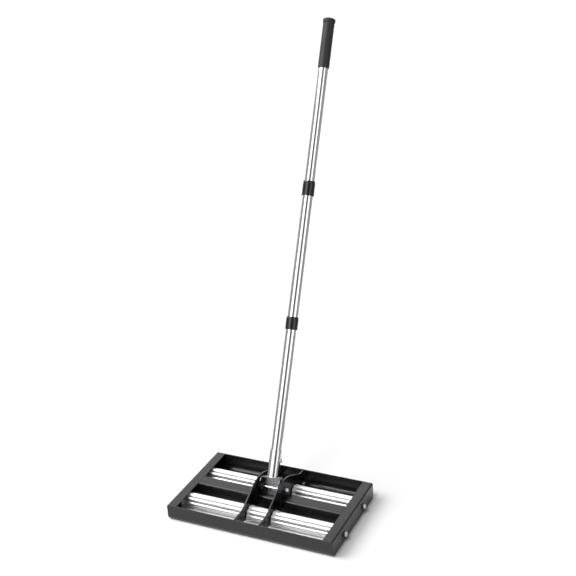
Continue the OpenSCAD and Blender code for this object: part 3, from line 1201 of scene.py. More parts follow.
# The rollers


@dataclass
class Rollers:
    """Two rows of three open rollers on their axles.

    Attributes:
        row_y: Distance of each axle from the middle.
        axle_z: Height of the axles.
        axle: Radius of an axle.
        axle_half: Half the length of an axle.
        axle_edge: Rounding of the axles' ends.
        outer: Radius over the discs' lobes.
        rod: Radius of a rod.
        rod_edge: Rounding of the rods' ends.
        rod_steps: Steps round a rod.
        count: Rods round a roller.
        lobe_wall: Wall of the discs' lobes round the rods.
        lobe_steps: Steps along a lobe.
        end_proud: How far the rods' ends stand out past the discs.
        disc: Thickness of a disc.
        disc_edge: Rounding of the discs' rims.
        disc_edge_steps: Steps in that rounding.
        bush: Radius of a bush.
        bush_length: Length of a bush.
        bush_edge: Rounding of the bushes' ends.
        bore_steps: Steps round a bush.
        side_gap: Space between a roller and the wall beside it.
        spacer: Radius of the spacer rings.
        spacer_edge: Rounding of the spacer rings.
        spacer_steps: Steps round a spacer ring.
        end_play: End clearance of the spacers.
        fit: Radial clearance of the fixed fits.
        run: Radial clearance of the running fits.
        bays: Names and spans of the bays along X, from left to right.
    """

    row_y: float = 58.5
    axle_z: float = 19.5
    axle: float = 4.0
    axle_half: float = 220.8
    axle_edge: float = 0.6
    outer: float = 19.3
    rod: float = 4.5
    rod_edge: float = 0.7
    rod_steps: int = 28
    count: int = 8
    lobe_wall: float = 1.2
    lobe_steps: int = 14
    end_proud: float = 0.6
    disc: float = 8.0
    disc_edge: float = 0.3
    disc_edge_steps: int = 2
    bush: float = 7.0
    bush_length: float = 10.0
    bush_edge: float = 0.5
    bore_steps: int = 48
    side_gap: float = 1.5
    spacer: float = 7.0
    spacer_edge: float = 0.3
    spacer_steps: int = 40
    end_play: float = 0.2
    fit: float = 0.1
    run: float = 0.06
    bays: tuple[tuple[str, float, float], ...] = (
        ("left", -213.5, -34.0),
        ("centre", -30.0, 30.0),
        ("right", 34.0, 213.5),
    )

    @property
    def ring(self) -> float:
        """Returns the radius of the circle on which the rods lie."""
        return self.outer - self.lobe_wall - self.rod

    def disc_outline(self) -> list[Point]:
        """Gives a disc's outline in y and z, with a lobe round each rod.

        Returns:
            The outline's points.
        """
        lobe, far = self.rod + self.lobe_wall, self.ring
        apart = far * math.sin(math.pi / self.count)
        spread = math.pi / 2 + math.pi / self.count - math.acos(apart / lobe)
        outline: list[Point] = []
        for i in range(self.count):
            middle = 2 * math.pi * i / self.count
            y, z = far * math.sin(middle), far * math.cos(middle)
            for k in range(self.lobe_steps + 1):
                turn = middle - spread + 2 * spread * k / self.lobe_steps
                outline.append((y + lobe * math.sin(turn), z + lobe * math.cos(turn)))
        return outline

    def roller(self, row: str, y: float, bay: str, low: float, high: float) -> None:
        """Makes one roller.

        Args:
            row: Name of its row.
            y: Place of its axle.
            bay: Name of its bay.
            low: Start of the bay along X.
            high: End of the bay.
        """
        name, body = f"{row}_{bay}", f"{row}_{bay}_roller"
        start, end = low + self.side_gap, high - self.side_gap
        centre = Vector((0, y, self.axle_z))
        place = Matrix.Translation(centre)
        one = bar(self.rod, start, end, self.rod_edge, self.rod_steps).moved(TO_X)
        rods = one.piece(f"{name}_rods_bright", ROD)
        RODS_ROUND.run(rods, ROD, Count=self.count, Ring_Radius=self.ring * MM, Centre=centre * MM)
        install(rods, body, [f"{name}_rods"])
        outline, bore = self.disc_outline(), circle(self.bush + self.fit, 0.0, self.bore_steps)
        rim, steps = self.disc_edge, self.disc_edge_steps
        discs = Shape()
        for face in (start + self.end_proud, end - self.end_proud - self.disc):
            discs = discs.plus(slab(outline, face, face + self.disc, rim, Axis.X, [bore], steps))
        install(discs.moved(place).piece(f"{name}_discs_moulded", DISC), body, [f"{name}_discs"])
        inner, edge, steps = self.axle + self.run, self.bush_edge, self.bore_steps
        bushes = Shape()
        for foot, top in ((start, start + self.bush_length), (end - self.bush_length, end)):
            bushes = bushes.plus(ring(inner, self.bush, foot, top, edge, steps))
        shape = bushes.moved(place @ TO_X)
        install(shape.piece(f"{name}_bushes_plain", BRONZE), body, [f"{name}_bushes"])

    def spacers(self) -> None:
        """Makes the twelve rings beside the rollers, of which the first four stand for the solids."""
        width = self.side_gap - self.end_play
        source = ring(self.axle + self.fit, self.spacer, -width, 0, self.spacer_edge, self.spacer_steps)
        (_, _, inner), (_, beside, outer) = self.bays[1:]
        for number, reach in enumerate((outer, beside + width, inner)):
            piece = source.moved(TO_X).piece(f"roller_spacers_{number}", ZINC)
            span = {"Span_X": 2 * reach * MM, "Span_Y": 2 * self.row_y * MM}
            AT_CORNERS.run(piece, ZINC, Centre=(0.0, 0.0, self.axle_z * MM), **span)
            install(piece, Body.FRAME.value, () if number else ["roller_spacers"])

    def build(self) -> None:
        """Makes the rollers, axles and spacers."""
        for row, y in (("front", -self.row_y), ("rear", self.row_y)):
            place = Matrix.Translation((0, y, self.axle_z)) @ TO_X
            axle = bar(self.axle, -self.axle_half, self.axle_half, self.axle_edge).moved(place)
            install(axle.piece(f"{row}_axle_rod", ZINC), Body.FRAME.value, [f"{row}_axle"])
            for bay, low, high in self.bays:
                self.roller(row, y, bay, low, high)
        self.spacers()


# Fasteners and the yoke


@dataclass(frozen=True)
class HexSize:
    """Sizes of a hexagon nut or head.

    Attributes:
        across: Width across the flats.
        high: Height of the hexagon.
        dome: Height of the dome on it.
        shank: Radius of its thread.
        cut_start: Radius where the cone that cuts the corners starts, as a share of half the width.
        cut_slope: Slope of that cone.
        cut_step: Height of one step of the cut.
        cut_steps: Number of those steps.
        shoulder: Height of the slope above the flats.
        bore_gap: Radial clearance of the thread.
        bore_past: How far the bore goes past the hexagon.
        dome_share: Radius of the dome, as a share of half the width.
        dome_lip: Height of the lip under the dome.
        dome_steps: Steps up the dome.
        steps: Steps round it.
    """

    across: float
    high: float
    dome: float
    shank: float
    cut_start: float = 0.955
    cut_slope: float = 1.73
    cut_step: float = 0.2
    cut_steps: int = 6
    shoulder: float = 0.3
    bore_gap: float = 0.1
    bore_past: float = 0.2
    dome_share: float = 0.95
    dome_lip: float = 0.15
    dome_steps: int = 12
    steps: int = 96

    def levels(self, low: float) -> Profile:
        """Gives the profile of the hexagon, its corners cut by a cone at the lower end.

        Args:
            low: Where it starts.

        Returns:
            Radii and heights, going up.
        """
        flat = self.across / 2
        levels: Profile = []
        for k in range(self.cut_steps):
            cut = k * self.cut_step
            levels.append((hexagon(self.across, flat * self.cut_start + cut * self.cut_slope), low + cut))
        levels.append((hexagon(self.across, flat * 2), low + self.high - self.shoulder))
        return levels

    def nut(self) -> Shape:
        """Makes a dome nut along Z with its seat at zero.

        Returns:
            The nut.
        """
        flat, bore, top = self.across / 2, self.shank + self.bore_gap, self.high + self.bore_past
        profile: Profile = [(0.0, top), (bore, top), (bore, 0.0), *self.levels(0.0), (flat, self.high)]
        for k in range(self.dome_steps):
            turn = math.pi / 2 * k / self.dome_steps
            up = self.high + self.dome_lip + (self.dome - self.dome_lip) * math.sin(turn)
            profile.append((flat * self.dome_share * math.cos(turn), up))
        profile.append((0.0, self.high + self.dome))
        return revolve(profile, self.steps)


@dataclass
class Fasteners:
    """Dome nuts and washers on the axles, and the pivot bolt with its own.

    Attributes:
        axle_nut: Sizes of the axle nuts.
        pivot_nut: Sizes of the pivot nut.
        head: Sizes of the pivot bolt's head.
        dish: Inner and outer radius, and depth, of the dish in the bolt's head.
        seat_share: Radius of the head's seat, as a share of half its width.
        bolt_edge: Chamfer at the bolt's end.
        washer: Radius of a washer.
        washer_thick: Thickness of a washer.
        washer_edge: Rounding of a washer.
        washer_steps: Steps round a washer.
        spacer: Radius of the spacer rings beside the yoke.
        spacer_edge: Rounding of those rings.
        spacer_steps: Steps round those rings.
        fit: Radial clearance of washers and rings on a shank.
        side_play: End clearance of the spacer rings.
        wall_x: Place of the end bars' outer faces.
        plate_x: Place of the plates' outer faces.
        yoke_x: Place of the yoke's outer faces.
        plate_inner: Place of the plates' inner faces.
        row_y: Distance of each axle from the middle.
        axle_z: Height of the axles.
        pivot_y: Place of the pivot behind the middle.
        pivot_z: Height of the pivot.
    """

    axle_nut: HexSize = HexSize(13.0, 3.6, 2.8, 4.0)
    pivot_nut: HexSize = HexSize(13.0, 6.0, 5.0, 4.0)
    head: HexSize = HexSize(13.0, 5.3, 0.0, 4.0)
    dish: tuple[float, float, float] = (3.6, 4.2, 0.35)
    seat_share: float = 0.97
    bolt_edge: float = 0.8
    washer: float = 8.5
    washer_thick: float = 1.2
    washer_edge: float = 0.35
    washer_steps: int = 56
    spacer: float = 7.0
    spacer_edge: float = 0.3
    spacer_steps: int = 48
    fit: float = 0.1
    side_play: float = 0.2
    wall_x: float = 216.0
    plate_x: float = 34.0
    yoke_x: float = 26.0
    plate_inner: float = 30.0
    row_y: float = 58.5
    axle_z: float = 19.5
    pivot_y: float = 9.0
    pivot_z: float = 55.0

    def washer_ring(self, shank: float, low: float) -> Shape:
        """Returns a washer along Z from a place, for a shank of a radius."""
        high = low + self.washer_thick
        return ring(shank + self.fit, self.washer, low, high, self.washer_edge, self.washer_steps)

    def bolt(self) -> Shape:
        """Makes the pivot bolt along Z, its head at the low end.

        Returns:
            The bolt.
        """
        seat, shank, edge = self.plate_x + self.washer_thick, self.head.shank, self.bolt_edge
        low, end = -seat - self.head.high, seat + self.pivot_nut.high
        inner, outer, deep = self.dish
        profile: Profile = [(0.0, low + deep), (inner, low + deep), (outer, low), *self.head.levels(low)]
        profile += [(self.head.across / 2 * self.seat_share, -seat), (shank, -seat)]
        profile += [(shank, end - edge), (shank - edge, end), (0.0, end)]
        return revolve(profile, self.head.steps)

    def build(self) -> None:
        """Makes every fastener of the head."""
        body = Body.FRAME.value
        rows = {"Span_Y": 2 * self.row_y * MM, "Centre": (0.0, 0.0, self.axle_z * MM)}
        nuts = self.axle_nut.nut().moved(TO_X).piece("axle_dome_nuts", ZINC)
        AT_CORNERS.run(nuts, ZINC, Span_X=2 * (self.wall_x + self.washer_thick) * MM, **rows)
        install(nuts, body, ["axle_nuts"])
        washers = self.washer_ring(self.axle_nut.shank, 0.0).moved(TO_X).piece("axle_washers_black", COAT)
        AT_CORNERS.run(washers, COAT, Span_X=2 * self.wall_x * MM, **rows)
        install(washers, body, ["axle_washers"])
        pivot = Matrix.Translation((0, self.pivot_y, self.pivot_z)) @ TO_X
        install(self.bolt().moved(pivot).piece("pivot_bolt_plated", ZINC), body, ["pivot_bolt"])
        seat = Matrix.Translation((0, 0, self.plate_x + self.washer_thick))
        nut = self.pivot_nut.nut().moved(pivot @ seat).piece("pivot_dome_nut", ZINC)
        install(nut, body, ["pivot_nut"])
        shank, far_side = self.pivot_nut.shank, -self.plate_x - self.washer_thick
        both = self.washer_ring(shank, self.plate_x).plus(self.washer_ring(shank, far_side))
        install(both.moved(pivot).piece("pivot_washers_black", COAT), body, ["pivot_washers"])
        near, far = self.yoke_x + self.side_play, self.plate_inner
        rings = Shape()
        for low, high in ((near, far), (-far, -near)):
            bore = shank + self.fit
            rings = rings.plus(ring(bore, self.spacer, low, high, self.spacer_edge, self.spacer_steps))
        install(rings.moved(pivot).piece("pivot_spacers_plated", ZINC), body, ["pivot_spacers"])


@dataclass(frozen=True)
class RoundHead:
    """A screw with a round head and a cross cut in it.

    Attributes:
        radius: Radius of the head.
        height: Height of the head.
        rim: Height of the head's rim, as a share of its height.
        cross_half: Half the width of the cross.
        cross_reach: Half the length of the cross.
        cross_deep: Depth of the cross.
        shank: Radius of the shank.
        shank_length: Length of the shank.
        shank_edge: Rounding of the shank's end.
        seat_gap: Gap between shank and head, which keeps their faces apart.
        steps: Steps round the head.
        rings: Rings from the middle to the rim.
    """

    radius: float = 4.5
    height: float = 3.0
    rim: float = 0.55
    cross_half: float = 0.55
    cross_reach: float = 2.4
    cross_deep: float = 1.3
    shank: float = 2.5
    shank_length: float = 9.0
    shank_edge: float = 0.4
    seat_gap: float = 0.01
    steps: int = 64
    rings: int = 18

    def top(self, x: float, y: float, reach: float) -> float:
        """Gives the height of the head's surface.

        Args:
            x: Place across the head.
            y: Place along the head.
            reach: Distance from the middle.

        Returns:
            The height above the seat.
        """
        crown = math.sqrt(max(0.0, 1 - (reach / self.radius) ** 2))
        in_cross = min(abs(x), abs(y)) < self.cross_half and max(abs(x), abs(y)) < self.cross_reach
        return self.height * (self.rim + (1 - self.rim) * crown) - (self.cross_deep if in_cross else 0.0)

    def shape(self) -> Shape:
        """Makes the screw along Z.

        Returns:
            The screw, with its seat at zero.
        """
        shape = Shape()
        turns = [2 * math.pi * k / self.steps for k in range(self.steps)]
        numbers: list[list[int]] = []
        for r in range(self.rings + 1):
            start, reach = len(shape.points), self.radius * r / self.rings
            for turn in turns if r else turns[:1]:
                x, y = reach * math.cos(turn), reach * math.sin(turn)
                shape.points.append(Vector((x, y, self.top(x, y, reach))))
            numbers.append(list(range(start, len(shape.points))))
        start = len(shape.points)
        shape.points += [Vector((self.radius * math.cos(t), self.radius * math.sin(t), 0)) for t in turns]
        numbers.append(list(range(start, len(shape.points))))
        shape.stitch(numbers, self.steps)
        shape.faces.append(tuple(numbers[-1]))
        return shape.plus(bar(self.shank, -self.shank_length, -self.seat_gap, self.shank_edge))


@dataclass
class Yoke:
    """The bent bracket on the pivot, with the socket and its screw.

    Attributes:
        pivot: Place of the pivot.
        lean_deg: Backward lean of the handle.
        width: Width over the legs.
        sheet: Thickness of the sheet.
        bend: Inner bend radius.
        bend_steps: Steps round a bend.
        edge: Rounding of the sheet's edges.
        ear: Radius of the legs' ends.
        ear_start_deg: Turn from the legs' lowest point at which their ends start.
        ear_steps: Steps along the legs' ends.
        leg_rows: Heights of the rows of points up a leg, below the shoulder.
        leg_high: Height of the row above the shoulder.
        depth_steps: Steps from front to rear.
        top: Height of the top above the pivot.
        front: How far the top reaches in front of the pivot.
        rear: How far the top reaches behind the pivot.
        reach: How far the shoulders reach in front of the pivot.
        shoulder: Height of the shoulders.
        wall_low: Height of the rear wall's lower edge.
        wall_bite: How far the wall goes into the sheet round it.
        wall_back: How far the wall lies inside the rear edge.
        wall_edge: Rounding of the wall's edges.
        wall_hole: Radius of the hole in the rear wall.
        wall_hole_up: Height of that hole.
        wall_hole_steps: Steps round that hole.
        socket: Outer radius of the socket.
        socket_bore: Inner radius of the socket.
        socket_length: Length of the socket.
        socket_edges: Roundings above the weld, and of the socket's outer and inner edges.
        socket_steps: Steps round the socket.
        socket_turn_deg: Largest turn between two points of the socket's roundings.
        weld: Width and height of the weld round the socket's foot.
        screw: Sizes of the locking screw.
        screw_up: Height of the screw above the socket's foot.
    """

    pivot: tuple[float, float, float] = (0.0, 9.0, 55.0)
    lean_deg: float = 25.0
    width: float = 52.0
    sheet: float = 2.5
    bend: float = 3.0
    bend_steps: int = 8
    edge: float = 0.45
    ear: float = 12.0
    ear_start_deg: float = 6.0
    ear_steps: int = 10
    leg_rows: tuple[float, ...] = (1.5, 3.0, 5.0, 8.0)
    leg_high: float = 17.0
    depth_steps: int = 8
    top: float = 26.0
    front: float = 13.0
    rear: float = 5.0
    reach: float = 18.5
    shoulder: float = 14.0
    wall_low: float = 4.5
    wall_bite: float = 0.2
    wall_back: float = 0.05
    wall_edge: float = 0.4
    wall_hole: float = 4.0
    wall_hole_up: float = 9.5
    wall_hole_steps: int = 36
    socket: float = 14.5
    socket_bore: float = 12.6
    socket_length: float = 66.0
    socket_edges: tuple[float, float, float] = (0.8, 0.7, 0.4)
    socket_steps: int = 72
    socket_turn_deg: float = 20.0
    weld: tuple[float, float] = (1.6, 1.8)
    screw: RoundHead = RoundHead()
    screw_up: float = 42.0

    @property
    def stand(self) -> Matrix:
        """Returns the matrix that stands a shape on the pivot along the handle."""
        return Matrix.Translation(self.pivot) @ Matrix.Rotation(-math.radians(self.lean_deg), 4, "X")

    def depth(self, height: float) -> tuple[float, float]:
        """Gives where a leg starts in front of the pivot and ends behind it.

        Args:
            height: Height above the pivot.

        Returns:
            The places of its front and rear edges.
        """
        turn = math.atan2(self.shoulder, self.reach) - math.acos(self.ear / math.hypot(self.reach, self.shoulder))
        leave_y, leave_z = self.ear * math.cos(turn), self.ear * math.sin(turn)
        round_end = math.sqrt(max(0.0, self.ear**2 - height**2))
        front = round_end
        if height >= self.shoulder:
            share = (height - self.shoulder) / (self.top - self.shoulder)
            front = self.reach + (self.front - self.reach) * share
        elif height >= leave_z:
            front = leave_y + (self.reach - leave_y) * (height - leave_z) / (self.shoulder - leave_z)
        return -front, round_end if height < 0 else max(self.rear, round_end)

    def section(self) -> list[tuple[Point, Point]]:
        """Gives the sheet's section across the yoke, from the foot of one leg to that of the other.

        Returns:
            The places of the outer and inner face in x and z, row after row.
        """
        half, heel = self.width / 2, self.bend + self.sheet
        start = math.radians(self.ear_start_deg)
        turns = [start + (math.pi / 2 - start) * k / self.ear_steps for k in range(self.ear_steps + 1)]
        heights = [-self.ear * math.cos(turn) for turn in turns] + list(self.leg_rows)
        heights += [math.sqrt(self.ear**2 - self.rear**2), self.shoulder, self.leg_high, self.top - heel]
        path: list[tuple[Point, Point]] = [((-half, h), (self.sheet - half, h)) for h in heights]
        x, z = heel - half, self.top - heel
        for k in range(1, self.bend_steps + 1):
            turn = math.pi / 2 * k / self.bend_steps
            c, s = math.cos(turn), math.sin(turn)
            path.append(((x - heel * c, z + heel * s), (x - self.bend * c, z + self.bend * s)))
        return path + [((-x0, z0), (-x1, z1)) for (x0, z0), (x1, z1) in reversed(path)]

    def bent_sheet(self) -> Shape:
        """Makes the legs and the top as one bent sheet, in the handle's own frame.

        Returns:
            The sheet.
        """
        shape, steps = Shape(), self.depth_steps
        rows: list[tuple[list[int], list[int]]] = []
        for outer, inner in self.section():
            row: tuple[list[int], list[int]] = ([], [])
            front, rear = self.depth(outer[1])
            for layer, (x, z) in enumerate((outer, inner)):
                for k in range(steps + 1):
                    row[layer].append(len(shape.points))
                    shape.points.append(Vector((x, front + (rear - front) * (k / steps), z)))
            rows.append(row)
        for near, far in zip(rows, rows[1:]):
            for layer in range(2):
                for k in range(steps):
                    shape.faces.append((near[layer][k], near[layer][k + 1], far[layer][k + 1], far[layer][k]))
            for k in (0, -1):
                shape.faces.append((near[0][k], far[0][k], far[1][k], near[1][k]))
        for row in (rows[0], rows[-1]):
            for k in range(steps):
                shape.faces.append((row[0][k], row[0][k + 1], row[1][k + 1], row[1][k]))
        return shape

    def rear_wall(self) -> Shape:
        """Makes the wall between the legs at the back, with its hole.

        Returns:
            The wall.
        """
        half, high = self.width / 2 - self.sheet + self.wall_bite, self.top - self.sheet + self.wall_bite
        outline = [(-half, self.wall_low), (half, self.wall_low), (half, high), (-half, high)]
        hole = circle(self.wall_hole, self.wall_hole_up, self.wall_hole_steps)
        low, high = self.rear - self.sheet, self.rear - self.wall_back
        return slab(outline, low, high, self.wall_edge, Axis.Y, [hole])

    def socket_shape(self) -> Shape:
        """Makes the socket with a small weld round its foot.

        Returns:
            The socket.
        """
        low, high = self.top, self.top + self.socket_length
        (wide, up), (weld_edge, outer_edge, inner_edge) = self.weld, self.socket_edges
        corners = [
            (self.socket_bore, low, 0),
            (self.socket + wide, low, 0),
            (self.socket, low + up, weld_edge),
            (self.socket, high, outer_edge),
            (self.socket_bore, high, inner_edge),
        ]
        return revolve(soften(corners, step_deg=self.socket_turn_deg), self.socket_steps, closed=True)

    def build(self) -> None:
        """Makes the bracket, the socket and the screw."""
        body = Body.HANDLE.value
        bracket = self.bent_sheet().moved(self.stand).piece("yoke_bracket_bent", SHEET, self.edge)
        install(bracket, body, ["yoke_bracket"])
        wall = self.rear_wall().moved(self.stand).piece("yoke_rear_wall", SHEET)
        install(wall, body)
        socket = self.socket_shape().moved(self.stand).piece("socket_polished", TUBE)
        install(socket, body, ["socket_tube"])
        side = self.stand @ Matrix.Translation((self.socket, 0, self.top + self.screw_up)) @ TO_X
        screw = self.screw.shape().moved(side).piece("socket_screw_plated", ZINC)
        install(screw, body, ["socket_screw"])


# The handle


@dataclass
class Handle:
    """Three polished tubes, two collars and the grip.

    Attributes:
        stand: The matrix of the handle's own frame.
        tube: Outer radius of the tubes.
        wall: Wall of the tubes.
        tube_edge: Rounding of the tubes' ends.
        steps: Steps round the tubes, the collars and the grip.
        fit: Radial clearance of the sleeves on the tubes.
        foot: Start of the lower tube above the pivot.
        lower_joint: Height of the lower joint.
        upper_joint: Height of the upper joint.
        tube_top: Top of the upper tube.
        collar: Outer radius of the collars.
        lower_collar: Length of the lower collar.
        upper_collar: Length of the upper collar.
        lip: Heights where a collar's wide foot ends and its body starts.
        lip_step: How much wider the foot is than the body.
        shoulder: Height and width of a collar's sloping shoulder.
        collar_edges: Roundings of a collar's corners, from the foot of its bore round to the top of its bore.
        collar_turn_deg: Largest turn between two points of a collar's roundings.
        grip: Radius of the grip.
        grip_length: Length of the grip.
        grip_end: Thickness of the grip's end.
        mouth: Height and width of the taper at the grip's mouth.
        bead: How far the bead round its end stands out.
        bead_down: Distances below the end at which the bead starts, is full, and ends.
        crown: Distances in from the side and below the end at which the domed end starts.
        grip_edges: Roundings of the grip's corners, from the end of the tube round to the middle of the end.
        grip_turn_deg: Largest turn between two points of the grip's roundings.
    """

    stand: Matrix
    tube: float = 12.5
    wall: float = 1.2
    tube_edge: float = 0.35
    steps: int = 96
    fit: float = 0.1
    foot: float = 26.0
    lower_joint: float = 401.0
    upper_joint: float = 729.0
    tube_top: float = 1137.0
    collar: float = 15.25
    lower_collar: float = 31.0
    upper_collar: float = 36.0
    lip: tuple[float, float] = (2.2, 2.6)
    lip_step: float = 0.35
    shoulder: tuple[float, float] = (4.2, 1.7)
    collar_edges: tuple[float, ...] = (0.3, 0.4, 0.3, 0.3, 2.5, 0.8, 0.3)
    collar_turn_deg: float = 15.0
    grip: float = 13.9
    grip_length: float = 122.0
    grip_end: float = 6.0
    mouth: tuple[float, float] = (3.0, 0.2)
    bead: float = 1.4
    bead_down: tuple[float, float, float] = (14.0, 9.0, 3.2)
    crown: tuple[float, float] = (4.0, 0.6)
    grip_edges: tuple[float, ...] = (0.0, 0.0, 0.4, 1.0, 2.0, 3.0, 3.0, 3.0, 6.0, 0.0)
    grip_turn_deg: float = 12.0

    def tube_shape(self, low: float, high: float) -> Shape:
        """Returns a tube between two heights."""
        return ring(self.tube - self.wall, self.tube, low, high, self.tube_edge, self.steps)

    def collar_shape(self, joint: float, length: float) -> Shape:
        """Makes a collar over a joint, wider at its foot and rounded at its shoulder.

        Args:
            joint: Height of the joint.
            length: Length of the collar.

        Returns:
            The collar.
        """
        low, high, bore = joint - length / 2, joint + length / 2, self.tube + self.fit
        slim, (lip_end, body_start), (fall, taper) = self.collar - self.lip_step, self.lip, self.shoulder
        places = [
            (bore, low),
            (self.collar, low),
            (self.collar, low + lip_end),
            (slim, low + body_start),
            (slim, high - fall),
            (self.collar - taper, high),
            (bore, high),
        ]
        corners = [(*place, edge) for place, edge in zip(places, self.collar_edges)]
        return revolve(soften(corners, step_deg=self.collar_turn_deg), self.steps, closed=True)

    def grip_shape(self) -> Shape:
        """Makes the grip: a sleeve with a bead and a domed, closed end.

        Returns:
            The grip.
        """
        high = self.tube_top + self.grip_end
        low, bore, wide = high - self.grip_length, self.tube + self.fit, self.grip + self.bead
        (mouth_up, mouth_in), (start, full, end), (crown_in, crown_down) = self.mouth, self.bead_down, self.crown
        places = [
            (0.0, self.tube_top),
            (bore, self.tube_top),
            (bore, low),
            (self.grip - mouth_in, low),
            (self.grip, low + mouth_up),
            (self.grip, high - start),
            (wide, high - full),
            (wide, high - end),
            (self.grip - crown_in, high - crown_down),
            (0.0, high),
        ]
        corners = [(*place, edge) for place, edge in zip(places, self.grip_edges)]
        return revolve(soften(corners, False, self.grip_turn_deg), self.steps)

    def build(self) -> None:
        """Makes every piece of the handle."""
        body = Body.HANDLE.value
        for node, low, high in (
            ("lower_tube", self.foot, self.lower_joint),
            ("middle_tube", self.lower_joint, self.upper_joint),
            ("upper_tube", self.upper_joint, self.tube_top),
        ):
            piece = self.tube_shape(low, high).moved(self.stand).piece(f"{node}_polished", TUBE)
            install(piece, body, [node])
        for node, joint, length in (
            ("lower_collar", self.lower_joint, self.lower_collar),
            ("upper_collar", self.upper_joint, self.upper_collar),
        ):
            piece = self.collar_shape(joint, length).moved(self.stand).piece(f"{node}_moulded", PLASTIC)
            install(piece, body, [node])
        grip = self.grip_shape().moved(self.stand).piece("grip_moulded", RUBBER)
        install(grip, body, ["grip"])
        for node in ("lower_insert", "upper_insert", "lower_stud", "upper_stud"):
            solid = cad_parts[node]
            solid.data.materials.clear()
            solid.data.materials.append(ZINC.material())
            LOG.info("%s keeps its solid inside the tubes", node)


# The studio


@dataclass
class SoftBox:
    """One area light, which only reflections show.

    Attributes:
        name: Its name.
        place: Where it hangs, in metres.
        target: What it points at.
        size: Its width and height.
        power: Its power in watts.
    """

    name: str
    place: tuple[float, float, float]
    target: tuple[float, float, float]
    size: tuple[float, float]
    power: float

    def hang(self) -> None:
        """Puts the light into the scene."""
        lamp = bpy.data.lights.new(self.name, "AREA")
        lamp.shape = "RECTANGLE"
        lamp.size, lamp.size_y = self.size
        lamp.energy = self.power
        holder = add_object(self.name, lamp)
        holder.visible_diffuse = False
        holder.location = self.place
        toward = Vector(self.target) - Vector(self.place)
        holder.rotation_euler = toward.to_track_quat("-Z", "Y").to_euler()


@dataclass
class Lamp:
    """A broad light from far away.

    Attributes:
        name: Its name.
        source: The direction it comes from.
        power: Its power.
        degrees: How broad it is.
        in_gloss: Whether reflections show it.
    """

    name: str
    source: tuple[float, float, float]
    power: float
    degrees: float
    in_gloss: bool = True

    def hang(self) -> None:
        """Puts the light into the scene."""
        lamp = bpy.data.lights.new(self.name, "SUN")
        lamp.energy = self.power
        lamp.angle = math.radians(self.degrees)
        holder = add_object(self.name, lamp)
        holder.rotation_euler = (-Vector(self.source)).to_track_quat("-Z", "Y").to_euler()
        holder.visible_glossy = self.in_gloss


@dataclass
class Card:
    """A curved card round the object, standing or flat on the floor, which only reflections show.

    Attributes:
        name: Its name.
        turns: Level angles at which it starts and ends.
        reach: Its distance from the middle in metres.
        tall: Its height.
        finish: What it is made of.
        spread: How far its upper edge lies outside its lower edge.
        steps: Flat strips that make up its curve.
    """

    name: str
    turns: tuple[float, float]
    reach: float
    tall: float
    finish: LitCard
    spread: float = 0.0
    steps: int = 12

    def stand(self) -> None:
        """Stands the card in the scene."""
        (start, end), count = self.turns, self.steps + 1
        turns = [math.radians(start + (end - start) * k / self.steps) for k in range(count)]
        low = [(self.reach * math.cos(t), self.reach * math.sin(t), 0.0) for t in turns]
        wide = 1 + self.spread / self.reach
        high = [(x * wide, y * wide, self.tall) for x, y, _ in low]
        mesh = bpy.data.meshes.new(self.name)
        mesh.from_pydata(low + high, [], [(k, k + 1, k + 1 + count, k + count) for k in range(self.steps)])
        mesh.materials.append(self.finish.material())
        mesh.materials[0].cycles.emission_sampling = "NONE"
        card = add_object(self.name, mesh)
        card.visible_camera = card.visible_diffuse = card.visible_shadow = False


